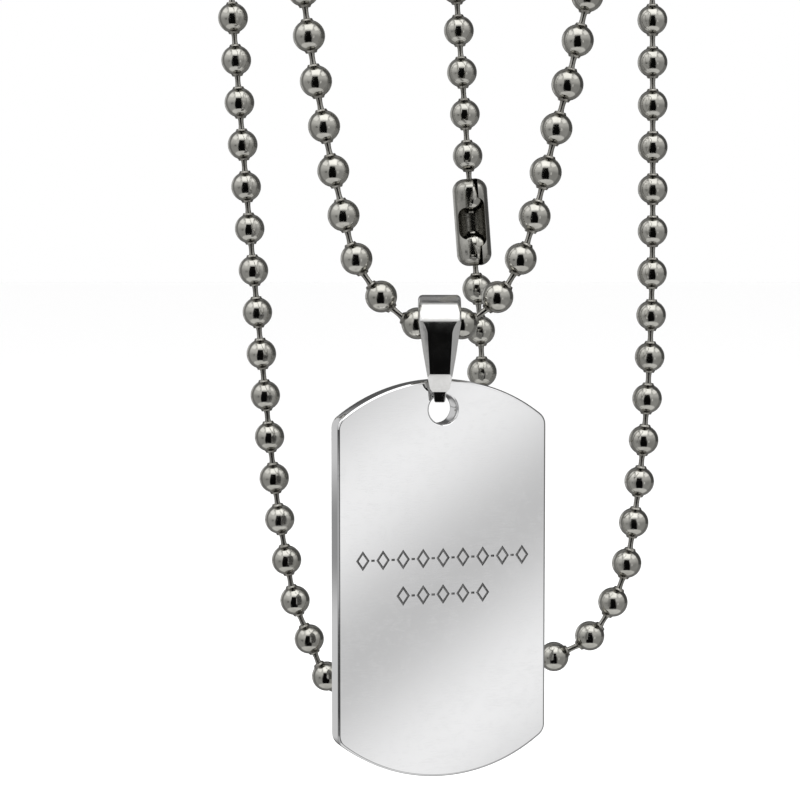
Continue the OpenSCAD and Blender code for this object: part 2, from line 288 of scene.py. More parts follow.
def mark_painted_shade(obj: bpy.types.Object, painted_shade: Callable[[Vector], float]) -> None:
    """Marks how much painted shade, a dark film colour where shade falls, each corner of a mesh gets.

    Args:
        obj: The object.
        painted_shade: Gives the share of painted shade, from 0 to 1, at a place in millimetres.
    """
    mark = obj.data.attributes.new(PAINTED_SHADE_MARK, "FLOAT", "POINT")
    for item, vertex in zip(mark.data, obj.data.vertices):
        item.value = painted_shade(vertex.co / MM)


def arc(middle: Point, radius: float, start: float, end: float, steps: int) -> list[Point]:
    """Points of an arc.

    Args:
        middle: Middle of the arc.
        radius: Its radius.
        start: First angle, in radians.
        end: Last angle.
        steps: Number of steps between them.

    Returns:
        Its points, both ends among them.
    """
    angles = [start + (end - start) * i / steps for i in range(steps + 1)]
    return [(middle[0] + radius * math.cos(a), middle[1] + radius * math.sin(a)) for a in angles]


def stadium(x: float, z: float, width: float, length: float, steps: int) -> list[Point]:
    """Outline of an upright slot with round ends, about x, z, with steps along each end.

    Args:
        x: Middle of the slot.
        z: Middle of the slot.
        width: Its width.
        length: Its length with both ends.
        steps: Number of steps along each end.

    Returns:
        Its corners.
    """
    r = width / 2
    half = length / 2 - r
    return arc((x, z + half), r, 0, math.pi, steps) + arc((x, z - half), r, math.pi, 2 * math.pi, steps)


# Shader building


class Web:
    """A node tree under construction, with short calls to add nodes and to link them."""

    def __init__(self, tree: bpy.types.NodeTree) -> None:
        """Empties the tree and keeps it."""
        self.tree = tree
        tree.nodes.clear()

    def add(self, kind: str, inputs: dict | None = None, **settings: object) -> bpy.types.Node:
        """Adds a node.

        Args:
            kind: Blender's name of the node's type.
            inputs: Socket name or number to a value or to another node's output.
            settings: Properties of the node.

        Returns:
            The node.
        """
        node = self.tree.nodes.new(kind)
        for key, value in settings.items():
            setattr(node, key, value)
        for key, value in (inputs or {}).items():
            if isinstance(value, bpy.types.NodeSocket):
                self.tree.links.new(value, node.inputs[key])
            else:
                node.inputs[key].default_value = value
        return node

    def math(self, operation: str, a: Value, b: Value = 0.0, c: Value = 0.0,
             clamp: bool = False) -> bpy.types.NodeSocket:
        """Output of a Math node on up to three values or outputs."""
        node = self.add("ShaderNodeMath", {0: a, 1: b, 2: c}, operation=operation, use_clamp=clamp)
        return node.outputs[0]

    def product(self, first: Value, *others: Value) -> Value:
        """Output of all factors multiplied, in their order.

        Args:
            first: First factor.
            others: The other factors.

        Returns:
            The product.
        """
        for other in others:
            first = self.math("MULTIPLY", first, other)
        return first

    def dim(self, value: Value, mask: Value, share: float) -> bpy.types.NodeSocket:
        """Output of a value that loses a share of itself where the mask is 1."""
        return self.math("MULTIPLY", value, self.math("MULTIPLY_ADD", mask, -share, 1.0))

    def band(self, value: Value, start: float, full: float, fade: float, end: float) -> Value:
        """Mask that rises from 0 to 1 between start and full, and falls to 0 between fade and end."""
        return self.product(self.ramp(value, start, full), self.ramp(value, fade, end, 1.0, 0.0))

    def ramp(self, value: Value, low: float, high: float, to_low: Value = 0.0,
             to_high: Value = 1.0) -> bpy.types.NodeSocket:
        """Output that goes smoothly from to_low to to_high as value goes from low to high.

        Args:
            value: The value.
            low: Where the change starts.
            high: Where it ends.
            to_low: The output up to low.
            to_high: The output from high on.

        Returns:
            The node's output.
        """
        node = self.add("ShaderNodeMapRange", {0: value, 1: low, 2: high, 3: to_low, 4: to_high},
                        interpolation_type="SMOOTHSTEP")
        return node.outputs[0]

    def mix(self, share: Value, a: object, b: object) -> bpy.types.NodeSocket:
        """Output of a colour mix from a to b."""
        node = self.add("ShaderNodeMix", {0: share, 6: a, 7: b}, data_type="RGBA")
        return node.outputs[2]


class ShaderGroups:
    """The effects that more than one steel shares, each built once."""

    # Turn in radians, stretch along Z and shift of each direction of the scratches.
    SCRATCH_WAYS = ((0.5, 14.0, 0.0), (-0.9, 18.0, 7.3), (1.45, 12.0, 3.1))

    def __init__(self) -> None:
        """Builds the three groups."""
        self.scratches = self._scratches()
        self.haze = self._haze()
        self.painted_shade_group = self._painted_shade_group()

    @staticmethod
    def _tree(name: str, inputs: Sequence[tuple[str, str, object]],
              outputs: Sequence[str]) -> tuple[Web, bpy.types.Node, bpy.types.Node]:
        """Starts a group with its named sockets.

        Args:
            name: Name of the group.
            inputs: Name, socket type and default of each input.
            outputs: Names of the value outputs.

        Returns:
            The web, the group's input node and its output node.
        """
        tree = bpy.data.node_groups.new(name, "ShaderNodeTree")
        for label, kind, default in inputs:
            socket = tree.interface.new_socket(name=label, in_out="INPUT", socket_type=kind)
            if default is not None:
                socket.default_value = default
        for label in outputs:
            tree.interface.new_socket(name=label, in_out="OUTPUT", socket_type="NodeSocketFloat")
        web = Web(tree)
        return web, web.add("NodeGroupInput"), web.add("NodeGroupOutput")

    def _scratches(self) -> bpy.types.NodeTree:
        """Hair-fine handling scratches in three directions.

        Returns:
            The group.
        """
        web, given, out = self._tree("handling_scratches", [
            ("Vector", "NodeSocketVector", None),
            ("Scale", "NodeSocketFloat", 1.0),
            ("Width", "NodeSocketFloat", 0.04),
        ], ["Mask"])
        found = None
        for turn, stretch, shift in self.SCRATCH_WAYS:
            placed = web.add("ShaderNodeMapping", {
                "Vector": given.outputs["Vector"],
                "Location": (shift, shift, shift),
                "Rotation": (0.3, turn, turn * 0.5),
                "Scale": (1.0, 1.0, stretch),
            })
            noise = web.add("ShaderNodeTexNoise", {
                "Vector": placed.outputs[0],
                "Scale": given.outputs["Scale"],
                "Detail": 2.0,
                "Roughness": 0.4,
            })
            line = web.math("ABSOLUTE", web.math("SUBTRACT", noise.outputs[0], 0.5))
            thin = web.math("SUBTRACT", 1.0, web.math("DIVIDE", line, given.outputs["Width"]), clamp=True)
            patch = web.add("ShaderNodeTexNoise", {
                "Vector": given.outputs["Vector"],
                "Scale": 0.35 + 0.1 * shift,
                "Detail": 1.0,
            })
            worn = web.math("MULTIPLY", thin, web.ramp(patch.outputs[0], 0.5, 0.62))
            found = worn if found is None else web.math("MAXIMUM", found, worn)
        web.tree.links.new(found, out.inputs["Mask"])
        return web.tree

    def _haze(self) -> bpy.types.NodeTree:
        """Broad cloudiness of a buffed surface, with a finer second layer.

        Returns:
            The group.
        """
        web, given, out = self._tree("buffed_haze", [
            ("Vector", "NodeSocketVector", None),
            ("Scale", "NodeSocketFloat", 0.4),
            ("Low", "NodeSocketFloat", 0.0),
            ("High", "NodeSocketFloat", 1.0),
        ], ["Value"])
        broad = web.add("ShaderNodeTexNoise", {
            "Vector": given.outputs["Vector"],
            "Scale": given.outputs["Scale"],
            "Detail": 3.0,
        })
        fine = web.add("ShaderNodeTexNoise", {
            "Vector": given.outputs["Vector"],
            "Scale": web.math("MULTIPLY", given.outputs["Scale"], 7.0),
            "Detail": 2.0,
        })
        minor = web.math("MULTIPLY", fine.outputs[0], 0.3)
        both = web.math("ADD", web.math("MULTIPLY", broad.outputs[0], 0.7), minor)
        value = web.ramp(both, 0.35, 0.65, given.outputs["Low"], given.outputs["High"])
        web.tree.links.new(value, out.inputs["Value"])
        return web.tree

    def _painted_shade_group(self) -> bpy.types.NodeTree:
        """Painted shade: a dark film colour in the crevices and hollows which the mesh marks, where shade
        falls.

        Returns:
            The group.
        """
        web, given, out = self._tree("crevice_film", [
            ("Vector", "NodeSocketVector", None),
            ("Crevice", "NodeSocketFloat", 0.0),
            ("Scale", "NodeSocketFloat", 2.5),
        ], ["Mask"])
        noise = web.add("ShaderNodeTexNoise", {
            "Vector": given.outputs["Vector"],
            "Scale": given.outputs["Scale"],
            "Detail": 3.0,
        })
        patchy = web.ramp(noise.outputs[0], 0.3, 0.65, 0.45, 1.0)
        mask = web.math("MULTIPLY", patchy, given.outputs["Crevice"], clamp=True)
        web.tree.links.new(mask, out.inputs["Mask"])
        return web.tree


@dataclass(frozen=True)
class SteelFinish:
    """One polished steel: its colours, its gloss, its wear and its painted shade in hollows."""

    name: str
    light: tuple[float, float, float]
    dark: tuple[float, float, float]
    # Colour of the painted shade in hollows and crevices.
    painted_shade: tuple[float, float, float]
    gloss_low: float
    gloss_high: float
    scratch_scale: float
    scratch_rough: float
    scratch_depth: float
    haze_scale: float
    ripple: float = 0.0
    ripple_scale: float = 0.5
    scratch_width: float = 0.035
    painted_shade_scale: float = 2.5
    painted_shade_rough: float = 0.25

    def build(self, groups: ShaderGroups) -> bpy.types.Material:
        """Builds the material.

        Args:
            groups: The shared shader groups.

        Returns:
            The material.
        """
        material = bpy.data.materials.new(self.name)
        material.use_nodes = True
        web = Web(material.node_tree)
        place = web.add("ShaderNodeTexCoord").outputs["Object"]
        scaled = web.add("ShaderNodeMapping", {"Vector": place, "Scale": (1 / MM,) * 3}).outputs[0]
        haze = self._use(web, groups.haze, {
            "Vector": scaled, "Scale": self.haze_scale, "Low": 0.0, "High": 1.0}, "Value")
        scratch = self._use(web, groups.scratches, {
            "Vector": scaled, "Scale": self.scratch_scale, "Width": self.scratch_width}, "Mask")
        # Painted shade: the film colour darkens the corners that the mesh marks as hollows, and also
        # roughens them.
        crevice = web.add("ShaderNodeAttribute", attribute_name=PAINTED_SHADE_MARK).outputs["Fac"]
        painted_shade = self._use(web, groups.painted_shade_group, {
            "Vector": scaled, "Crevice": crevice, "Scale": self.painted_shade_scale}, "Mask")
        steel = web.mix(haze, (*self.dark, 1), (*self.light, 1))
        coloured = web.mix(painted_shade, steel, (*self.painted_shade, 1))
        gloss = web.ramp(haze, 0.0, 1.0, self.gloss_high, self.gloss_low)
        rough = web.math("ADD", gloss, web.math("MULTIPLY", scratch, self.scratch_rough))
        rough = web.math("ADD", rough, web.math("MULTIPLY", painted_shade, self.painted_shade_rough), clamp=True)
        noise = web.add("ShaderNodeTexNoise", {"Vector": scaled, "Scale": self.ripple_scale, "Detail": 1.0})
        waves = web.math("MULTIPLY", noise.outputs[0], self.ripple)
        height = web.math("MULTIPLY_ADD", scratch, -self.scratch_depth, waves)
        bump = web.add("ShaderNodeBump", {"Strength": 1.0, "Distance": MM, "Height": height})
        metal = web.add("ShaderNodeBsdfPrincipled", {
            "Base Color": coloured,
            "Metallic": 1.0,
            "Roughness": rough,
            "Normal": bump.outputs[0],
        })
        web.add("ShaderNodeOutputMaterial", {"Surface": metal.outputs[0]})
        return material

    @staticmethod
    def _use(web: Web, group: bpy.types.NodeTree, inputs: dict, output: str) -> bpy.types.NodeSocket:
        """Places a shared group with its own values and gives one of its outputs."""
        return web.add("ShaderNodeGroup", inputs, node_tree=group).outputs[output]


PLATE_STEEL = SteelFinish(
    name="plate_steel", light=(0.885, 0.885, 0.89), dark=(0.88, 0.88, 0.885), painted_shade=(0.3, 0.29, 0.28),
    gloss_low=0.03, gloss_high=0.04, scratch_scale=0.55, scratch_rough=0.04, scratch_depth=0.0001,
    haze_scale=0.12)
ENGRAVED_STEEL = SteelFinish(
    name="engraved_steel", light=(0.46, 0.46, 0.46), dark=(0.34, 0.34, 0.34), painted_shade=(0.2, 0.2, 0.2),
    gloss_low=0.42, gloss_high=0.55, scratch_scale=1.5, scratch_rough=0.1, scratch_depth=0.002,
    haze_scale=3.0)
BAIL_STEEL = SteelFinish(
    name="bail_steel", light=(0.91, 0.905, 0.895), dark=(0.84, 0.835, 0.82), painted_shade=(0.25, 0.24, 0.22),
    gloss_low=0.11, gloss_high=0.17, scratch_scale=0.9, scratch_rough=0.06, scratch_depth=0.0003,
    haze_scale=0.5, ripple=0.008)
CLASP_STEEL = SteelFinish(
    name="clasp_steel", light=(0.6, 0.59, 0.55), dark=(0.47, 0.465, 0.43), painted_shade=(0.2, 0.19, 0.165),
    gloss_low=0.09, gloss_high=0.16, scratch_scale=0.9, scratch_rough=0.12, scratch_depth=0.001,
    haze_scale=0.6, ripple=0.006)
CHAIN_STEEL = SteelFinish(
    name="chain_steel", light=(0.6, 0.59, 0.545), dark=(0.5, 0.49, 0.45), painted_shade=(0.13, 0.12, 0.105),
    gloss_low=0.05, gloss_high=0.1, scratch_scale=0.9, scratch_rough=0.12, scratch_depth=0.001,
    haze_scale=0.35, ripple=0.004)


# Plate


@dataclass
class Plate:
    """The arched plate with its hole and its two engraved rows."""

    width: float = 22.0
    height: float = 40.0
    thickness: float = 2.4
    arc_radius: float = 17.0
    corner_radius: float = 1.5
    edge: float = 0.2
    bulge: float = 0.03
    turn: float = 18.0
    hole: float = 2.95
    hole_rim: float = 1.5
    hole_edge: float = 0.16
    cut_depth: float = 0.12
    line: float = 0.22
    lozenge_height: float = 2.0
    lozenge_width: float = 1.4
    lozenge_step: float = 2.1
    bar: float = 0.35
    upper_row: float = 2.15
    row_step: float = 3.65
    counts: tuple[int, int] = (9, 5)
    corner_steps: int = 8
    arc_steps: int = 56
    hole_sides: int = 112

    # Points of the broken edge, from the face to the side wall: how far in from the wall and how far under
    # the face, as shares of the edge's width.
    EDGE_STEPS = ((1.15, 0), (0.95, 0.03), (0.8, 0.12), (0.12, 0.8), (0.03, 0.95))
    # How far under the face the wall's own bulge ends, in the same shares.
    EDGE_DEPTH = 1.2
    # Points of the hole's edge, from its wall outwards: how far out and how far under the face, in shares.
    HOLE_STEPS = ((0, 1.15), (0.12, 0.88), (0.9, 0.1), (1.4, -0.2))
    # Heights of the points between the middle and the end of a bulging wall.
    BULGE_STEPS = (0.25, 0.5, 0.75)

    def place(self) -> Matrix:
        """Turn and shift from the plate's own axes to the frame, in millimetres.

        Returns:
            The turn and shift.
        """
        low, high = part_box("dog_tag")
        middle = (low + high) / 2 / MM
        return Matrix.Translation(middle) @ Matrix.Rotation(math.radians(self.turn), 4, "Z")

    def facing(self) -> Matrix:
        """Turn from an outline in the plate's face, with its normal to the viewer, to the frame."""
        return self.place() @ Matrix.Rotation(math.radians(90), 4, "X")

    def outline(self, inset: float) -> list[Point]:
        """Outline of the plate, moved inwards by an inset.

        Args:
            inset: How far inwards, in millimetres.

        Returns:
            Its corners, counterclockwise.
        """
        arc_z = self.height / 2 - self.arc_radius
        corner_x = self.width / 2 - self.corner_radius
        reach = self.arc_radius - self.corner_radius
        corner_z = arc_z + math.sqrt(reach ** 2 - corner_x ** 2)
        lean = math.atan2(corner_z - arc_z, corner_x)
        small = self.corner_radius - inset
        upper = arc((corner_x, corner_z), small, 0, lean, self.corner_steps)
        upper += arc((0, arc_z), self.arc_radius - inset, lean, math.pi - lean, self.arc_steps)[1:-1]
        upper += arc((-corner_x, corner_z), small, math.pi - lean, math.pi, self.corner_steps)
        return upper + [(-x, -z) for x, z in upper]

    def blank(self) -> bpy.types.Object:
        """The plate before it is drilled, with softly broken chamfers round both faces.

        Returns:
            The plate, without its hole and its rows.
        """
        half = self.thickness / 2
        wall = half - self.EDGE_DEPTH * self.edge
        front = [(self.bulge + deep * self.edge, half - low * self.edge) for deep, low in self.EDGE_STEPS]
        front += [(self.bulge * share ** 2, share * wall) for share in (1, *self.BULGE_STEPS[::-1])]
        profile = front + [(0, 0)] + [(inset, -height) for inset, height in front[::-1]]
        turn = self.facing()
        loops = [[turn @ Vector((x, z, height)) for x, z in self.outline(inset)]
                 for inset, height in profile]
        n = len(loops[0])
        points = [p for loop in loops for p in loop]
        faces = [[k * n + i, k * n + (i + 1) % n, (k + 1) * n + (i + 1) % n, (k + 1) * n + i]
                 for k in range(len(loops) - 1) for i in range(n)]
        last = (len(loops) - 1) * n
        faces += [list(range(n)), list(range(last, last + n))[::-1]]
        obj = make_object("dog_tag_plate", points, faces)
        face_out(obj)
        return obj

    def drill(self) -> bpy.types.Object:
        """The shape of the hole, wider at its two chamfers.

        Returns:
            The cutter.
        """
        r = self.hole / 2
        half = self.thickness / 2
        rise = self.height / 2 - self.hole_rim - r
        edge = [(r + out * self.hole_edge, half - low * self.hole_edge) for out, low in self.HOLE_STEPS]
        waist = [(r - self.bulge * (1 - share ** 2), share * edge[0][1]) for share in self.BULGE_STEPS]
        upper = waist + edge + [(edge[-1][0], half + CLEAR), (0, half + CLEAR)]
        profile = [(radius, -z) for radius, z in upper[::-1]] + [(r - self.bulge, 0)] + upper
        turn = self.facing() @ Matrix.Translation((0, rise, 0))
        return lathe("hole_cutter", profile, self.hole_sides, turn, closed=False)

    def cutter(self, outer: Sequence[Point], inner: Sequence[Point] | None,
               name: str) -> bpy.types.Object:
        """A flat cutter for one engraved mark, about the origin of the plate's face.

        Args:
            outer: Outline of the mark.
            inner: Outline of the part that stays, or None.
            name: Name of the object.

        Returns:
            The cutter, from the floor of the engraving to well over the face.
        """
        low, high = -self.cut_depth, self.cut_depth
        if inner is None:
            return prism(name, outer, low, high, Matrix.Identity(4))
        n = len(outer)
        points = [(x, y, h) for h in (low, high) for x, y in [*outer, *inner]]
        faces = []
        for i in range(n):
            j = (i + 1) % n
            faces += [
                [i, j, 2 * n + j, 2 * n + i],
                [n + j, n + i, 3 * n + i, 3 * n + j],
                [j, i, n + i, n + j],
                [2 * n + i, 2 * n + j, 3 * n + j, 3 * n + i],
            ]
        obj = make_object(name, points, faces)
        face_out(obj)
        return obj

    def marks(self) -> tuple[bpy.types.Object, bpy.types.Object]:
        """The cutters of one lozenge and of one short bar.

        Returns:
            The lozenge's cutter and the bar's cutter.
        """
        w, h = self.lozenge_width / 2, self.lozenge_height / 2
        keep = 1 - self.line * math.hypot(w, h) / (w * h)
        outer = [(-w, 0), (0, -h), (w, 0), (0, h)]
        lozenge = self.cutter(outer, [(x * keep, z * keep) for x, z in outer], "lozenge_cutter")
        x, z = self.bar / 2, self.line / 2
        bar = self.cutter([(-x, -z), (x, -z), (x, z), (-x, z)], None, "bar_cutter")
        return lozenge, bar

    def rows(self, material: bpy.types.Material) -> list[bpy.types.Object]:
        """The cutters of both rows, laid out by Geometry Nodes on the plate's face.

        Args:
            material: Finish of the engraving.

        Returns:
            The cutter of each row.
        """
        tree, sockets = row_tree()
        lozenge, bar = self.marks()
        cutters = []
        for row in Row:
            obj = make_object(f"row_cutter_{row.name.lower()}", [(0, 0, 0)], [])
            step = obj.modifiers.new("row", "NODES")
            step.node_group = tree
            for name, value in {
                "Count": self.counts[row.value],
                "Step": self.lozenge_step * MM,
                "Lozenge": lozenge,
                "Bar": bar,
                "Material": material,
            }.items():
                step[sockets[name]] = value
            settle(obj)
            height = self.upper_row - self.row_step * row.value
            turn = self.facing() @ Matrix.Translation((0, height, self.thickness / 2))
            obj.data.transform(Matrix.Scale(MM, 4) @ turn @ Matrix.Scale(1 / MM, 4))
            cutters.append(obj)
        bpy.data.objects.remove(lozenge)
        bpy.data.objects.remove(bar)
        return cutters

    def build(self, steel: bpy.types.Material, engraved: bpy.types.Material) -> bpy.types.Object:
        """Builds and dresses the plate.

        Args:
            steel: Finish of the plate.
            engraved: Finish of the engraving.

        Returns:
            The plate.
        """
        obj = self.blank()
        obj.data.materials.append(steel)
        obj.data.materials.append(engraved)
        carve(obj, [(Solve.CUT, self.drill())] + [(Solve.CUT, row) for row in self.rows(engraved)])
        shade(obj, angle=30, flat=1.5)
        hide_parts("dog_tag")
        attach(obj, "plate")
        return obj


def new_tree(name: str, inputs: Sequence[tuple[str, str]]) -> tuple[Web, bpy.types.Node, dict[str, str]]:
    """Starts a Geometry Nodes tree.

    Args:
        name: Name of the tree.
        inputs: Name and socket type of each input after the geometry.

    Returns:
        The web, the tree's input node, and each input's identifier by its name.
    """
    tree = bpy.data.node_groups.new(name, "GeometryNodeTree")
    tree.interface.new_socket(name="Geometry", in_out="INPUT", socket_type="NodeSocketGeometry")
    sockets = {}
    for label, kind in inputs:
        socket = tree.interface.new_socket(name=label, in_out="INPUT", socket_type=kind)
        sockets[label] = socket.identifier
    tree.interface.new_socket(name="Geometry", in_out="OUTPUT", socket_type="NodeSocketGeometry")
    web = Web(tree)
    return web, web.add("NodeGroupInput"), sockets


def end_tree(web: Web, geometry: bpy.types.NodeSocket, material: bpy.types.NodeSocket) -> None:
    """Ends a Geometry Nodes tree in real geometry with its material.

    Args:
        web: The tree.
        geometry: Output with the copies.
        material: Output with their material.
    """
    real = web.add("GeometryNodeRealizeInstances", {"Geometry": geometry})
    dressed = web.add("GeometryNodeSetMaterial", {"Geometry": real.outputs[0], "Material": material})
    web.add("NodeGroupOutput", {"Geometry": dressed.outputs[0]})


def row_tree() -> tuple[bpy.types.NodeTree, dict[str, str]]:
    """A row of lozenges with a short bar between each two, about its middle.

    Returns:
        The tree, and each input's identifier by its name.
    """
    web, given, sockets = new_tree("engraved_row", [
        ("Count", "NodeSocketInt"), ("Step", "NodeSocketFloat"), ("Lozenge", "NodeSocketObject"),
        ("Bar", "NodeSocketObject"), ("Material", "NodeSocketMaterial")])
    count, step = given.outputs["Count"], given.outputs["Step"]
    parts = []
    for shape, fewer in (("Lozenge", 1.0), ("Bar", 2.0)):
        gaps = web.math("SUBTRACT", count, fewer)
        start = web.add("ShaderNodeCombineXYZ", {"X": web.product(gaps, web.math("MULTIPLY", step, -0.5))})
        shift = web.add("ShaderNodeCombineXYZ", {"X": step})
        line = web.add("GeometryNodeMeshLine", {
            "Count": web.math("SUBTRACT", count, fewer - 1), "Start Location": start.outputs[0],
            "Offset": shift.outputs[0]})
        info = web.add("GeometryNodeObjectInfo", {"Object": given.outputs[shape]})
        placed = web.add("GeometryNodeInstanceOnPoints", {
            "Points": line.outputs[0], "Instance": info.outputs["Geometry"]})
        parts.append(placed.outputs[0])
    both = web.add("GeometryNodeJoinGeometry")
    for part in parts:
        web.tree.links.new(part, both.inputs[0])
    end_tree(web, both.outputs[0], given.outputs["Material"])
    return web.tree, sockets


# Bail


@dataclass
class Bail:
    """The folded strap that holds the plate on the chain, with its feet and its pin."""

    width: float = 4.25
    tip_width: float = 1.9
    radius: float = 3.65
    thickness: float = 0.95
    leg: float = 6.7
    crease_thickness: float = 1.3
    foot_thickness: float = 0.35
    lip_softness: float = 0.11
    lip: float = 0.3
    lip_width: float = 1.45
    bevel: float = 0.45
    pin: float = 0.5
    pin_drop: float = 0.75
    crease: float = 0.73
    leg_in: float = 2.063
    loop_height: float = -0.8
    shoulder: float = 0.8
    softness: float = 0.07
    loop_steps: int = 96
    bevel_steps: int = 6
    pin_sides: int = 48

    # Outline of a leg: how far down it, and how far from its tip's half width to the strap's.
    LEG_OUTLINE = ((0, 0.94), (0.16, 0.8), (0.45, 0.56), (0.72, 0.29), (0.95, 0.02), (1, -0.2))
    # Lower corners of the foot's lip, from the pin's axis, in pin diameters.
    LIP_END = ((1.1, -0.3), (0.9, -0.6))
    # Half width of the front facet under the loop and at the crease, then of the strap where its bevels
    # start, as shares of half the bail's width.
    FACET = (0.58, 0.47)
    BEVEL_START = 0.93

    def middle(self) -> Vector:
        """The middle of the link that the bail hangs on, in millimetres.

        Returns:
            The middle of the link.
        """
        low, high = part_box("bail")
        return Vector(((low.x + high.x) / 2, (low.y + high.y) / 2, high.z)) / MM - Vector(
            (0, 0, self.loop_height + self.radius))

    def side(self) -> list[Point]:
        """Outline of the strap seen along the chain, as one closed band.

        Returns:
            Its corners, as pairs of Y and Z.
        """
        crease_z = -self.leg * self.crease
        mid = (0, self.loop_height)
        outer = [(self.leg_in + self.foot_thickness, -self.leg),
                 (self.leg_in + self.crease_thickness, crease_z)]
        inner = [(self.leg_in, -self.leg), (self.leg_in, crease_z)]
        over = arc(mid, self.radius, 0, math.pi, self.loop_steps)
        under = arc(mid, self.radius - self.thickness, math.pi, 0, self.loop_steps)
        return (outer + over + [(-y, z) for y, z in outer[::-1]]
                + [(-y, z) for y, z in inner] + under + inner[::-1])

    def front(self) -> list[Point]:
        """Outline of the bail seen from the front.

        Returns:
            Its corners.
        """
        half, tip = self.width / 2, self.tip_width / 2
        over = self.loop_height + self.radius + CLEAR
        right = [(half, over), (half, self.shoulder)]
        right += [(tip + share * (half - tip), -down * self.leg) for down, share in self.LEG_OUTLINE]
        return right + [(-x, z) for x, z in right[::-1]]

    def loop_room(self, at: Matrix) -> bpy.types.Object:
        """What the rounded edges of the loop leave standing, with room for the legs.

        Args:
            at: Shift to the middle of the link.

        Returns:
            The solid to keep the strap within.
        """
        half, r = self.width / 2, self.radius
        swell = arc((r - self.bevel, half - self.bevel), self.bevel, math.pi / 2, 0, self.bevel_steps)
        profile = [(0, -half)] + [(y, -x) for y, x in swell] + swell[::-1] + [(0, half)]
        turn = Matrix.Translation((0, 0, self.loop_height)) @ Matrix.Rotation(math.radians(90), 4, "Y")
        room = lathe("loop_room", profile, 2 * self.loop_steps, at @ turn, closed=False)
        box = [(-half, -2 * r), (half, -2 * r), (half, 2 * r), (-half, 2 * r)]
        legs = prism("leg_room", box, self.loop_height - 2 * self.leg, self.loop_height, at)
        return carve(room, [(Solve.JOIN, legs)])

    def bevel_cut(self, at: Matrix, x: int, y: int) -> bpy.types.Object:
        """The metal outside the bevel of one leg's edge.

        Args:
            at: Shift to the middle of the link.
            x: Side of the bail, -1 or 1.
            y: Leg, 1 for the front one and -1 for the back one.

        Returns:
            The cutter.
        """
        half = self.width / 2
        top = Vector((half * self.FACET[0], -self.radius, self.loop_height))
        foot = Vector((half * self.FACET[1], -self.leg_in - self.crease_thickness, -self.leg * self.crease))
        side = Vector((half * self.BEVEL_START, -self.radius + self.bevel, self.loop_height))
        normal = (foot - top).cross(side - top).normalized()
        turn = Matrix.Translation(top) @ normal.to_track_quat("Z", "Y").to_matrix().to_4x4()
        flip = Matrix.Diagonal((x, y, 1, 1))
        far = 3 * self.leg
        square = [(-far, -far), (far, -far), (far, far), (-far, far)]
        return prism("bevel_cutter", square, 0, self.leg, at @ flip @ turn)

    def build(self, steel: bpy.types.Material) -> bpy.types.Object:
        """Builds and dresses the bail.

        Args:
            steel: Finish of the bail.

        Returns:
            The bail.
        """
        at = Matrix.Translation(self.middle())
        along = at @ Matrix(((0, 0, 1, 0), (1, 0, 0, 0), (0, 1, 0, 0), (0, 0, 0, 1)))
        across = at @ Matrix.Rotation(math.radians(90), 4, "X")
        deep = 2 * self.radius
        strap = prism("bail_strap", self.side(), -self.width, self.width, along)
        tools = [(Solve.KEEP, prism("front_room", self.front(), -deep, deep, across)),
                 (Solve.KEEP, self.loop_room(at))]
        tools += [(Solve.CUT, self.bevel_cut(at, x, y)) for x in (-1, 1) for y in (-1, 1)]
        carve(strap, tools)
        soften(strap, self.softness, angle=9, segments=3)
        pin_z = -self.leg - self.pin_drop
        lip_z = -self.leg + self.pin
        half = self.lip_width / 2
        down = [(x * self.pin, pin_z + z * self.pin) for x, z in self.LIP_END]
        lip = [(half, lip_z), (-half, lip_z)] + [(-x, z) for x, z in down] + down[::-1]
        feet = []
        for low in (self.leg_in, -self.leg_in - self.lip):
            foot = prism("foot", lip, low, low + self.lip, across)
            soften(foot, self.lip_softness, angle=20, segments=3)
            feet.append((Solve.JOIN, foot))
        reach = self.leg_in + self.lip / 2
        r = self.pin / 2
        rod = lathe("pin", [(0, -reach), (r, -reach), (r, reach), (0, reach)], self.pin_sides,
                    across @ Matrix.Translation((0, pin_z, 0)), closed=False)
        carve(strap, feet + [(Solve.JOIN, rod)])
        strap.data.materials.clear()
        strap.data.materials.append(steel)
        shade(strap, angle=24)
        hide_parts("bail")
        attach(strap, "bail")
        return strap


# Clasp


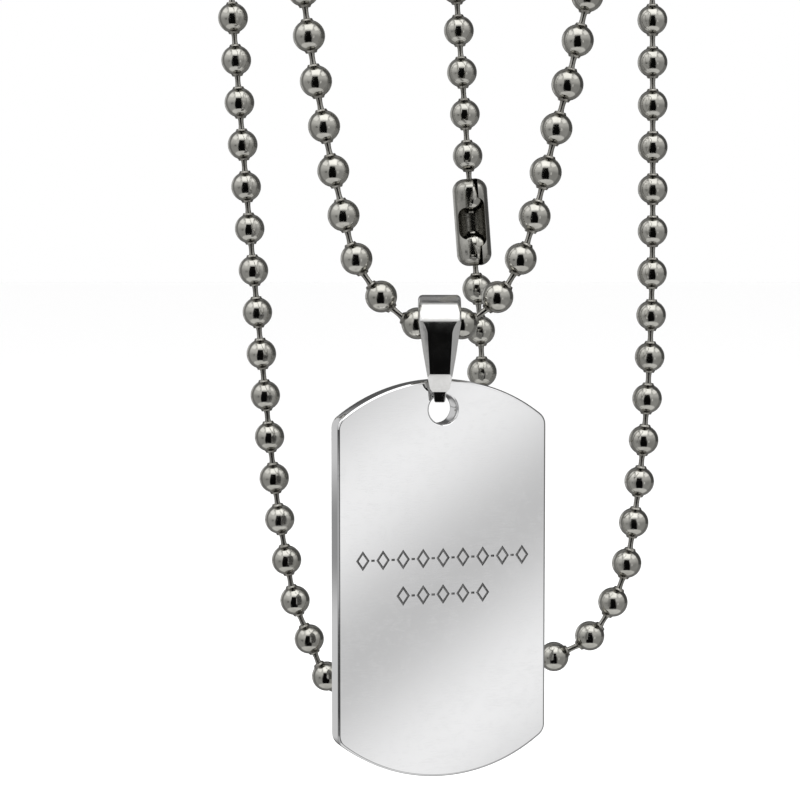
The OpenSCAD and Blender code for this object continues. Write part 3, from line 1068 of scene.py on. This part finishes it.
@dataclass
class Clasp:
    """The rolled sleeve with its two windows and its slits."""

    length: float = 9.35
    inner: float = 1.71
    wall: float = 0.15
    end_round: float = 1.3
    end_hole: float = 1.2
    window_length: float = 5.2
    window_width: float = 1.6
    window_x: float = 0.6
    window_low: float = -0.1
    short_length: float = 3.4
    short_width: float = 1.75
    slit: float = 0.5
    lean: Point = (0.0733, 0.9973)
    cut_from: float = 0.2
    softness: float = 0.035
    # Share of painted shade on the inner wall of the sleeve.
    inner_painted_shade: float = 0.6
    skin: float = 0.02
    sides: int = 128
    end_steps: int = 14
    window_steps: int = 20

    def body(self, radius: float, half: float, turned: float) -> list[Point]:
        """Right half of the sleeve's section from its lower to its upper end hole.

        Args:
            radius: Radius of the sleeve.
            half: Half its length.
            turned: Radius of its rounded ends.

        Returns:
            Points of the section.
        """
        reach = math.acos((self.end_hole / 2 - radius + turned) / turned)
        bottom = arc((radius - turned, turned - half), turned, -reach, 0, self.end_steps)
        return bottom + arc((radius - turned, half - turned), turned, 0, reach, self.end_steps)

    def build(self, steel: bpy.types.Material) -> bpy.types.Object:
        """Builds and dresses the clasp.

        Args:
            steel: Finish of the clasp.

        Returns:
            The clasp.
        """
        low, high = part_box("clasp")
        middle = (low + high) / 2 / MM
        tilt = Matrix.Rotation(math.atan2(-self.lean[0], self.lean[1]), 4, "Y")
        at = Matrix.Translation(middle) @ tilt
        outer = self.body(self.inner + self.wall, self.length / 2, self.end_round)
        inside = self.body(self.inner, self.length / 2 - self.wall, self.end_round - self.wall)
        obj = lathe("clasp_sleeve", outer + inside[::-1], self.sides, at)
        across = at @ Matrix.Rotation(math.radians(90), 4, "X")
        x = self.window_x
        tall = stadium(x, 0, self.window_width, self.window_length, self.window_steps)
        short = stadium(-x, self.window_low, self.short_width, self.short_length, self.window_steps)
        left, right, end = x - self.slit / 2, x + self.slit / 2, self.length
        slit = [(left, -end), (right, -end), (right, end), (left, end)]
        tools = [(Solve.CUT, prism(name, outline, self.cut_from, self.inner + CLEAR, across))
                 for name, outline in (("tall_window", tall), ("short_window", short), ("slit", slit))]
        carve(obj, tools)
        soften(obj, self.softness, angle=30)
        obj.data.materials.clear()
        obj.data.materials.append(steel)
        back = at.inverted()

        def painted_shade(place: Vector) -> float:
            """Painted shade on the sleeve's inner wall, and none on its outside.

            Args:
                place: A place in the frame, in millimetres.

            Returns:
                The painted shade's share.
            """
            own = back @ place
            within = math.hypot(own.x, own.y) < self.inner + self.skin and abs(own.z) < self.window_length
            return self.inner_painted_shade if within else 0.0

        mark_painted_shade(obj, painted_shade)
        shade(obj, angle=30)
        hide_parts("clasp")
        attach(obj, "chain")
        return obj


# Ball chain


@dataclass
class BallChain:
    """The beads and links, read from the frame's solids and laid out again with finer ones."""

    bead: float = 3.2
    wall: float = 0.22
    hole: float = 0.88
    lip_out: float = 0.1
    lip_wall: float = 0.14
    lip_foot: float = 0.4186
    neck: float = 0.65
    waist: float = 0.57
    head: float = 1.34
    head_rim: float = 0.85
    head_end: float = 1.06
    head_tip: float = 0.7
    head_slope: float = 1.3
    skin: float = 0.02
    # Painted shade round the lips, from this height, this far past the rim and fading over this reach; and
    # the least painted shade along a link.
    painted_shade_from: float = 1.0
    painted_shade_out: float = 0.08
    painted_shade_reach: float = 0.22
    neck_painted_shade: float = 0.35
    sides: int = 32
    link_sides: int = 18
    outer_steps: int = 8
    inner_steps: int = 4

    # Points of a lip from the hole outwards, from the hole's wall or the lip's rim, and from the lip's end.
    LIP_INSIDE = ((0.02, -0.07), (0.07, 0))
    LIP_OUTSIDE = ((-0.03, -0.02), (0, -0.07), (0.04, -0.18), (0.12, -0.27))
    # A link's outline: where its waist ends, in halves of the free span, then two points of its neck and the
    # neck's root, in shares of the neck's radius.
    WAIST_END = 0.25
    NECK = ((1, 0.62), (1.17, 0.92))
    ROOT_SWELL = 1.06
    # Heights of the head's rounded rim, from its widest point.
    HEAD_EDGE = (-0.04, 0.02)
    # Where the painted shade on a link begins and over what length it fills, as shares of half the free
    # span.
    FILM_START, FILM_RUN = 0.45, 0.6
    # A solid slimmer than this share of a bead is a link.
    SLIM = 0.3
    # The ends of a link are the corners past this share of its half length.
    END = 0.9
    # A bead's own links have their middles within this share of a bead.
    NEAR = 0.9
    # What is added to a stretch's seed for its links.
    LINK_SEED = 10

    def bead_shape(self) -> bpy.types.Object:
        """One hollow bead along Z, with rolled lips round both holes.

        Returns:
            The bead, about the origin.
        """
        r, inside = self.bead / 2, self.bead / 2 - self.wall
        hole = self.hole / 2
        lip = r + self.lip_out
        rim = hole + self.lip_wall
        foot = math.asin((hole + self.lip_foot) / r)
        deep = math.asin(hole / inside)
        upper = [(inside * math.sin(a), inside * math.cos(a))
                 for a in np.linspace(math.pi / 2, deep, self.inner_steps)]
        upper += [(hole, inside + self.skin)]
        upper += [(hole + out, lip + up) for out, up in self.LIP_INSIDE]
        upper += [(rim + out, lip + up) for out, up in self.LIP_OUTSIDE]
        upper += [(r * math.sin(a), r * math.cos(a))
                  for a in np.linspace(foot, math.pi / 2, self.outer_steps)]
        profile = upper + [(x, -z) for x, z in upper[::-1][1:-1]]
        obj = lathe("bead_shape", profile, self.sides, Matrix.Identity(4))

        def painted_shade(place: Vector) -> float:
            """Painted shade that fills the bead's inside and fades round the foot of each lip.

            Args:
                place: A place on the shape, in millimetres.

            Returns:
                The painted shade's share.
            """
            if place.length < r - self.skin:
                return 1.0
            if abs(place.z) <= self.painted_shade_from:
                return 0.0
            away = math.hypot(place.x, place.y) - rim - self.painted_shade_out
            return max(0.0, 1 - abs(away) / self.painted_shade_reach)

        mark_painted_shade(obj, painted_shade)
        shade(obj, angle=40)
        return obj

    def link_shape(self, span: float) -> bpy.types.Object:
        """One double-headed link along Z, for the free length between its two beads.

        Args:
            span: Mean free length between the beads' inner walls.

        Returns:
            The link, about the origin.
        """
        neck, head = self.neck / 2, self.head / 2
        half = span / 2
        root = self.head_rim - (head - neck) * self.head_slope
        upper = [(self.waist / 2, half * self.WAIST_END)]
        upper += [(neck * wide, half * share) for wide, share in self.NECK]
        upper += [(neck * self.ROOT_SWELL, half + root)]
        upper += [(head, half + self.head_rim + up) for up in self.HEAD_EDGE]
        upper += [(head * self.head_tip, half + self.head_end), (0, half + self.head_end)]
        profile = [(x, -z) for x, z in upper[::-1]] + upper
        obj = lathe("link_shape", profile, self.link_sides, Matrix.Identity(4), closed=False)

        def painted_shade(place: Vector) -> float:
            """Painted shade that thickens from a link's neck to its heads, where they go into the beads.

            Args:
                place: A place on the shape, in millimetres.

            Returns:
                The painted shade's share.
            """
            share = (abs(place.z) - half * self.FILM_START) / (half * self.FILM_RUN)
            return min(1.0, max(self.neck_painted_shade, share))

        mark_painted_shade(obj, painted_shade)
        shade(obj, angle=50)
        return obj

    @staticmethod
    def islands(node: bpy.types.Object) -> list[np.ndarray]:
        """The corners of each separate solid of a node, in millimetres.

        Every corner takes the least number among its neighbours' until all corners of a solid share one.

        Args:
            node: The node.

        Returns:
            The corners of each solid.
        """
        mesh = node.data
        places = np.empty(len(mesh.vertices) * 3)
        mesh.vertices.foreach_get("co", places)
        places = places.reshape(-1, 3) / MM
        mesh.calc_loop_triangles()
        corners = np.empty(len(mesh.loop_triangles) * 3, np.int64)
        mesh.loop_triangles.foreach_get("vertices", corners)
        _, first, same = np.unique(np.round(places, 4), axis=0, return_index=True, return_inverse=True)
        triangles = same.reshape(-1)[corners].reshape(-1, 3)
        label = np.arange(len(first))
        while True:
            least = label[triangles].min(axis=1)
            new = label.copy()
            for k in range(3):
                np.minimum.at(new, triangles[:, k], least)
            new = new[new]
            if (new == label).all():
                break
            label = new
        points = places[first]
        return [points[label == value] for value in np.unique(label)]

    def read(self, names: Sequence[str], nodes: dict[str, bpy.types.Object]) -> tuple[dict, dict]:
        """Reads where each bead and link lies.

        Args:
            names: The chain's nodes.
            nodes: The frame's nodes by name.

        Returns:
            The beads' and the links' (middle, direction) by node.
        """
        beads: dict[str, list] = {}
        links: dict[str, list] = {}
        for name in names:
            beads[name], links[name] = [], []
            for points in self.islands(nodes[name]):
                middle = (points.min(0) + points.max(0)) / 2
                _, axes = np.linalg.eigh(np.cov((points - middle).T))
                along = (points - middle) @ axes[:, 2]
                beside = np.linalg.norm(points - middle - np.outer(along, axes[:, 2]), axis=1).max()
                if beside < self.bead * self.SLIM:
                    top = points[along > self.END * along.max()]
                    bottom = points[along < self.END * along.min()]
                    way = top.mean(0) - bottom.mean(0)
                    links[name].append((middle, way / np.linalg.norm(way)))
                else:
                    beads[name].append(middle)
        every = [link for name in names for link in links[name]]
        middles = np.array([m for m, _ in every])
        ways = np.array([w for _, w in every])
        for name in names:
            placed = []
            for middle in beads[name]:
                away = np.linalg.norm(middles - middle, axis=1)
                near = [i for i in np.argsort(away)[:2] if away[i] < self.bead * self.NEAR]
                way = ways[near[0]]
                if len(near) > 1:
                    other = ways[near[1]]
                    way = way + other * np.sign(way @ other)
                placed.append((middle, way / np.linalg.norm(way)))
            beads[name] = placed
        return beads, links

    def lay(self, name: str, shape: bpy.types.Object, places: list, steel: bpy.types.Material,
            tree: bpy.types.NodeTree, sockets: dict[str, str], seed: int) -> bpy.types.Object:
        """Lays one shape at every place by Geometry Nodes.

        Args:
            name: Name of the piece.
            shape: The bead or link, along Z.
            places: Middle, direction and stretch of each copy.
            steel: Finish of the chain.
            tree: The tree that lays the copies.
            sockets: Identifiers of the tree's inputs.
            seed: Seed of the copies' roll.

        Returns:
            The piece, as one plain mesh.
        """
        obj = make_object(name, [place[0] for place in places], [])
        way = obj.data.attributes.new("way", "FLOAT_VECTOR", "POINT")
        way.data.foreach_set("vector", np.array([place[1] for place in places], np.float32).ravel())
        stretch = obj.data.attributes.new("stretch", "FLOAT", "POINT")
        stretch.data.foreach_set("value", [place[2] for place in places])
        step = obj.modifiers.new("lay", "NODES")
        step.node_group = tree
        for key, value in {"Shape": shape, "Roll Seed": seed, "Material": steel}.items():
            step[sockets[key]] = value
        settle(obj)
        for mark in ("way", "stretch"):
            obj.data.attributes.remove(obj.data.attributes[mark])
        return obj

    def spans(self, names: Sequence[str], beads: dict, links: list) -> list[float]:
        """Free length of each link between the inner walls of its two beads, in millimetres.

        Args:
            names: The chain's nodes.
            beads: Places of the beads by node.
            links: Places of the links of one node.

        Returns:
            The length of each link.
        """
        middles = np.array([middle for name in names for middle, _ in beads[name]])
        inside = 2 * (self.bead / 2 - self.wall)
        return [float(np.sort(np.linalg.norm(middles - middle, axis=1))[:2].sum()) - inside
                for middle, _ in links]

    def build(self, nodes: dict[str, bpy.types.Object],
              steel: bpy.types.Material) -> list[bpy.types.Object]:
        """Builds and dresses both stretches of the chain.

        Args:
            nodes: The frame's nodes by name.
            steel: Finish of the chain.

        Returns:
            The pieces.
        """
        names = ["front_chain", "rear_chain"]
        beads, links = self.read(names, nodes)
        tree, sockets = lay_tree()
        spans = {name: self.spans(names, beads, links[name]) for name in names}
        span = float(np.mean(sum(spans.values(), [])))
        bead, link = self.bead_shape(), self.link_shape(span)
        pieces = []
        for seed, name in enumerate(names):
            round_ones = [(*place, 1.0) for place in beads[name]]
            long_ones = [(*place, own / span) for place, own in zip(links[name], spans[name])]
            balls = self.lay(f"{name}_beads", bead, round_ones, steel, tree, sockets, seed)
            rods = self.lay(f"{name}_links", link, long_ones, steel, tree, sockets, seed + self.LINK_SEED)
            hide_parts(name)
            for piece in (balls, rods):
                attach(piece, "chain")
                pieces.append(piece)
            log.info("%s: %d beads, %d links", name, len(beads[name]), len(links[name]))
        bpy.data.objects.remove(bead)
        bpy.data.objects.remove(link)
        return pieces


def lay_tree() -> tuple[bpy.types.NodeTree, dict[str, str]]:
    """Copies of a shape on points, each along the point's own direction and rolled at random.

    Returns:
        The tree, and each input's identifier by its name.
    """
    web, given, sockets = new_tree("chain_layout", [
        ("Shape", "NodeSocketObject"), ("Roll Seed", "NodeSocketInt"), ("Material", "NodeSocketMaterial")])
    way = web.add("GeometryNodeInputNamedAttribute", {"Name": "way"}, data_type="FLOAT_VECTOR")
    aimed = web.add("FunctionNodeAlignRotationToVector", {"Vector": way.outputs["Attribute"]}, axis="Z")
    roll = web.add("FunctionNodeRandomValue", {"Seed": given.outputs["Roll Seed"]}, data_type="FLOAT")
    angle = web.math("MULTIPLY", roll.outputs[1], 2 * math.pi)
    turn = web.add("FunctionNodeAxisAngleToRotation", {"Axis": (0, 0, 1), "Angle": angle})
    rolled = web.add("FunctionNodeRotateRotation", {
        "Rotation": aimed.outputs[0], "Rotate By": turn.outputs[0]}, rotation_space="LOCAL")
    stretch = web.add("GeometryNodeInputNamedAttribute", {"Name": "stretch"}, data_type="FLOAT")
    size = web.add("ShaderNodeCombineXYZ", {"X": 1.0, "Y": 1.0, "Z": stretch.outputs["Attribute"]})
    info = web.add("GeometryNodeObjectInfo", {"Object": given.outputs["Shape"]})
    placed = web.add("GeometryNodeInstanceOnPoints", {
        "Points": given.outputs["Geometry"],
        "Instance": info.outputs["Geometry"],
        "Rotation": rolled.outputs[0],
        "Scale": size.outputs[0],
    })
    end_tree(web, placed.outputs[0], given.outputs["Material"])
    return web.tree, sockets


# Studio


@dataclass(frozen=True)
class Direction:
    """Where a ray goes, as outputs of the world's node tree.

    The side is in degrees to the right of the camera and the rise in degrees over the horizon.
    """

    x: Value
    y: Value
    z: Value
    side: Value
    round_side: Value
    rise: Value

    @classmethod
    def of(cls, web: Web) -> Direction:
        """Reads the direction of the ray at hand.

        Args:
            web: The world's node tree.

        Returns:
            The direction.
        """
        axes = web.add("ShaderNodeSeparateXYZ", {0: web.add("ShaderNodeTexCoord").outputs["Generated"]})
        x, y, z = axes.outputs[0], axes.outputs[1], axes.outputs[2]
        degrees = 180 / math.pi
        side = web.product(web.math("ARCTAN2", x, web.math("MULTIPLY", y, -1.0)), degrees)
        rise = web.product(web.math("ARCSINE", z), degrees)
        return cls(x, y, z, side, web.math("ABSOLUTE", side), rise)


@dataclass(frozen=True)
class Patch:
    """A soft-edged patch of the light tent, by its band of sides and its band of rises, in degrees."""

    side: Band
    rise: Band

    def mask(self, web: Web, way: Direction) -> Value:
        """Output that is 1 inside the patch and 0 outside it."""
        return web.product(web.band(way.side, *self.side), web.band(way.rise, *self.rise))


@dataclass
class Tent:
    """The light tent: white to the eye, and in reflections dim walls with lamps and a camera opening.

    Levels are brightness with white as 1, and losses are the share that a shade takes away. The ranges
    of the patches are where each starts, is full, fades and ends.
    """

    low_wall: float = 0.36
    high_wall: float = 0.7
    left_gain: float = 1.12
    wing: float = 1.25
    table: float = 0.8
    under: float = 0.85
    back_wall: float = 0.24
    back_lamp: float = 0.6
    rail: float = 0.15
    softbox: float = 1.65
    softbox_front: float = 0.25
    gap_loss: float = 0.6
    side_loss: float = 0.8
    roof_loss: float = 0.6
    stand_loss: float = 0.85
    window_loss: float = 0.99
    window_lean: float = -5.0
    window_low: float = -50.0
    window_high: float = 33.0
    window_halves: Point = (33.0, 22.0)
    panel_level: float = 0.765
    panel_wave: float = 0.19

    # Walls, lamps over them, table, front half, roof and the part right below
    WALL_RISE = (-8, 26)
    LEFT_X = (-0.55, -0.15)
    WING_SIDE = (40, 58)
    WING_RISE = (22, 36, 52, 62)
    TABLE_RISE = (-52, -44)
    FRONT_Y = (0.1, 0.5)
    ROOF_RISE = (58, 66)
    UNDER_RISE = (-88, -60)
    # Behind the object
    BACK_LAMP = Patch(side=(-168, -158, -134, -124), rise=(-25, -15, 15, 25))
    RAIL_RISE = -7
    RAIL_BACK = (0.4, 1.9)
    GAP_SIDE = (158, 167)
    GAP_RISE = (-38, -28, 26, 40)
    RIGHT_SHADE = Patch(side=(96, 106, 146, 156), rise=(-9.5, -7, 54, 60))
    # Softbox on a level plane overhead: its half width, its reach to the front and to the back per unit
    # of height, and its lowest rays
    SOFTBOX_X = (0.38, 0.46)
    SOFTBOX_FRONT = (-1.5, -0.7)
    SOFTBOX_BACK = (-0.1, 0.34)
    SOFTBOX_Z = (0.1, 0.2)
    LEAST_Z = 0.02
    # Camera opening, by its edges' softness, and the stand at its left
    WINDOW_EDGE = (0.93, 1.05)
    WINDOW_FOOT = (-2, 2)
    WINDOW_HEAD = (-1.5, 1)
    STAND = Patch(side=(-65, -61, -47, -43), rise=(-12, -11, -2.5, -1))
    STAND_RAIL = (1.2, 2.4)
    # White panel at the right and its slanting waves of shade
    PANEL = Patch(side=(31.5, 32.5, 41, 42.5), rise=(-17, -15.5, -1, 1))
    WAVE_SIDE = 35
    WAVE_SLANT = 0.8
    WAVE_SHIFT = 9.65
    WAVE_STEP = 6.9

    def build(self) -> None:
        """Makes the world: the tent in reflections, and plain white to the camera and to diffuse light."""
        world = bpy.data.worlds.new("light_tent")
        world.use_nodes = True
        bpy.context.scene.world = world
        web = Web(world.node_tree)
        way = Direction.of(web)
        rail = web.math("ABSOLUTE", web.math("ADD", way.rise, -self.RAIL_RISE))
        right_shade = self.RIGHT_SHADE.mask(web, way)
        tent = web.dim(self.walls(web, way), right_shade, self.side_loss)
        tent = web.product(tent, web.ramp(way.y, *self.FRONT_Y, 1.0, 0.0))
        tent = web.math("MAXIMUM", tent, self.back(web, way, rail, right_shade))
        tent = web.dim(tent, web.ramp(way.rise, *self.ROOF_RISE), self.roof_loss)
        tent = web.product(tent, web.ramp(way.rise, *self.UNDER_RISE, self.under, 1.0))
        tent = web.math("MAXIMUM", tent, self.panel(web, way))
        tent = web.math("MAXIMUM", tent, self.overhead(web, way))
        tent = web.dim(tent, self.window(web, way), self.window_loss)
        stand = web.product(self.STAND.mask(web, way), web.ramp(rail, *self.STAND_RAIL))
        tent = web.dim(tent, stand, self.stand_loss)
        grey = web.add("ShaderNodeCombineColor", {0: tent, 1: tent, 2: tent}).outputs[0]
        ray = web.add("ShaderNodeLightPath").outputs
        plain = web.math("MAXIMUM", ray["Is Camera Ray"], ray["Is Diffuse Ray"])
        seen = web.mix(plain, grey, (1.0, 1.0, 1.0, 1.0))
        light = web.add("ShaderNodeBackground", {"Color": seen, "Strength": 1.0})
        web.add("ShaderNodeOutputWorld", {"Surface": light.outputs[0]})

    def walls(self, web: Web, way: Direction) -> Value:
        """Brightness of the side walls, the high lamps beside them and the table.

        Args:
            web: The world's node tree.
            way: The ray's direction.

        Returns:
            The brightness.
        """
        walls = web.ramp(way.rise, *self.WALL_RISE, self.low_wall, self.high_wall)
        walls = web.product(walls, web.ramp(way.x, *self.LEFT_X, self.left_gain, 1.0))
        wings = web.ramp(way.round_side, *self.WING_SIDE, 0.0, self.wing)
        wings = web.product(web.band(way.rise, *self.WING_RISE), wings)
        table = web.ramp(way.rise, *self.TABLE_RISE, self.table, 0.0)
        return web.math("MAXIMUM", web.math("MAXIMUM", walls, wings), table)

    def back(self, web: Web, way: Direction, rail: Value, right_shade: Value) -> Value:
        """Brightness of the wall behind the object, with a lamp crossed by a rail and two dark parts.

        Args:
            web: The world's node tree.
            way: The ray's direction.
            rail: Distance from the rail, in degrees.
            right_shade: Mask of the dark part at the right.

        Returns:
            The wall's brightness.
        """
        lit = web.product(self.BACK_LAMP.mask(web, way), web.ramp(rail, *self.RAIL_BACK, self.rail, 1.0))
        wall = web.math("MULTIPLY_ADD", lit, self.back_lamp - self.back_wall, self.back_wall)
        gap = web.product(web.ramp(way.round_side, *self.GAP_SIDE), web.band(way.rise, *self.GAP_RISE))
        return web.dim(wall, web.math("MAXIMUM", gap, right_shade), self.gap_loss)

    def overhead(self, web: Web, way: Direction) -> Value:
        """Brightness of the softbox overhead, weaker towards the camera.

        Args:
            web: The world's node tree.
            way: The ray's direction.

        Returns:
            The brightness.
        """
        ahead = web.math("DIVIDE", way.y, web.math("MAXIMUM", way.z, self.LEAST_Z))
        box = web.product(
            web.ramp(web.math("ABSOLUTE", way.x), *self.SOFTBOX_X, 1.0, 0.0),
            web.ramp(ahead, *self.SOFTBOX_FRONT, self.softbox_front, 1.0),
            web.ramp(ahead, *self.SOFTBOX_BACK, 1.0, 0.0),
            web.ramp(way.z, *self.SOFTBOX_Z))
        return web.product(box, self.softbox)

    def window(self, web: Web, way: Direction) -> Value:
        """Mask of the dark opening for the camera, narrower towards its top.

        Args:
            web: The world's node tree.
            way: The ray's direction.

        Returns:
            The mask, 1 inside the opening.
        """
        half = web.ramp(way.rise, self.window_low, self.window_high, *self.window_halves)
        aside = web.math("ABSOLUTE", web.math("SUBTRACT", way.side, self.window_lean))
        across = web.ramp(web.math("DIVIDE", aside, half), *self.WINDOW_EDGE, 1.0, 0.0)
        foot = web.ramp(way.rise, *[self.window_low + by for by in self.WINDOW_FOOT])
        head = web.ramp(way.rise, *[self.window_high + by for by in self.WINDOW_HEAD], 1.0, 0.0)
        return web.product(across, foot, head)

    def panel(self, web: Web, way: Direction) -> Value:
        """Brightness of the white panel at the right, whose slanting shade the plate mirrors.

        Args:
            web: The world's node tree.
            way: The ray's direction.

        Returns:
            The brightness.
        """
        across = web.product(web.math("SUBTRACT", way.side, self.WAVE_SIDE), self.WAVE_SLANT)
        slant = web.math("ADD", web.math("SUBTRACT", way.rise, across), self.WAVE_SHIFT)
        wave = web.math("COSINE", web.product(slant, 2 * math.pi / self.WAVE_STEP))
        shade_band = web.math("MULTIPLY_ADD", wave, -self.panel_wave, self.panel_level)
        return web.product(shade_band, self.PANEL.mask(web, way))


@dataclass
class Studio:
    """Pale floor, light tent, soft lights and the camera."""

    target: tuple[float, float, float] = (-3.95, -10.5, -66.0)
    distance: float = 260.0
    pitch: float = 4.0
    lens: float = 117.0
    floor_drop: float = 24.0
    floor_size: float = 6000.0
    floor_white: float = 0.97
    key_power: float = 2.2
    fill_power: float = 0.8
    light_size: float = 300.0

    KEY_AT = (-250, -320, 260)
    FILL_AT = (320, -200, 120)

    def camera(self) -> bpy.types.Object:
        """Makes the camera at the photograph's angle.

        Returns:
            The camera.
        """
        data = bpy.data.cameras.new("camera")
        data.lens = self.lens
        data.sensor_width = 36.0
        data.clip_start = 0.01
        data.clip_end = 20.0
        obj = bpy.data.objects.new("camera", data)
        down = math.radians(self.pitch)
        back = Vector((0, -math.cos(down), math.sin(down))) * self.distance
        obj.location = (Vector(self.target) + back) * MM
        obj.rotation_euler = (math.radians(90) - down, 0, 0)
        bpy.context.scene.collection.objects.link(obj)
        bpy.context.scene.camera = obj
        return obj

    def floor(self) -> bpy.types.Object:
        """Makes the pale floor, below the lowest point of the object.

        Returns:
            The floor.
        """
        low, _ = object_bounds()
        z = low.z / MM - self.floor_drop
        half = self.floor_size / 2
        obj = make_object("floor", [(-half, -half, z), (half, -half, z), (half, half, z), (-half, half, z)],
                          [(0, 1, 2, 3)])
        material = bpy.data.materials.new("floor_paper")
        material.use_nodes = True
        web = Web(material.node_tree)
        paper = web.add("ShaderNodeBsdfDiffuse", {"Color": (*(self.floor_white,) * 3, 1)})
        web.add("ShaderNodeOutputMaterial", {"Surface": paper.outputs[0]})
        obj.data.materials.append(material)
        obj.visible_glossy = False
        obj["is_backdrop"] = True
        return obj

    def light(self, name: str, at: tuple[float, float, float], size: float,
              power: float) -> bpy.types.Object:
        """Makes a soft square light that looks at the target.

        Args:
            name: Name of the light.
            at: Its place, in millimetres.
            size: Its side, in millimetres.
            power: Its power, in watts.

        Returns:
            The light.
        """
        data = bpy.data.lights.new(name, "AREA")
        data.size = size * MM
        data.energy = power
        obj = bpy.data.objects.new(name, data)
        obj.location = Vector(at) * MM
        aim = Vector(self.target) - Vector(at)
        obj.rotation_euler = aim.to_track_quat("-Z", "Y").to_euler()
        obj.visible_camera = False
        obj.visible_glossy = False
        bpy.context.scene.collection.objects.link(obj)
        return obj

    def build(self) -> None:
        """Builds the whole studio and sets plain display colours."""
        self.camera()
        self.floor()
        Tent().build()
        self.light("key", self.KEY_AT, self.light_size, self.key_power)
        self.light("fill", self.FILL_AT, self.light_size, self.fill_power)
        view = bpy.context.scene.view_settings
        view.view_transform = "Standard"
        view.look = "None"


def main() -> None:
    """Builds the studio and every piece, and reports each."""
    logging.basicConfig(level=logging.INFO, format="%(message)s")
    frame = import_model()
    Studio().build()
    groups = ShaderGroups()
    steels = {finish.name: finish.build(groups)
              for finish in (PLATE_STEEL, ENGRAVED_STEEL, BAIL_STEEL, CLASP_STEEL, CHAIN_STEEL)}
    pieces = [
        Plate().build(steels["plate_steel"], steels["engraved_steel"]),
        Bail().build(steels["bail_steel"]),
        Clasp().build(steels["clasp_steel"]),
        *BallChain().build(frame["nodes"], steels["chain_steel"]),
    ]
    for piece in pieces:
        log.info("%s: %d faces", piece.name, len(piece.data.polygons))


if __name__ == "__main__":
    main()
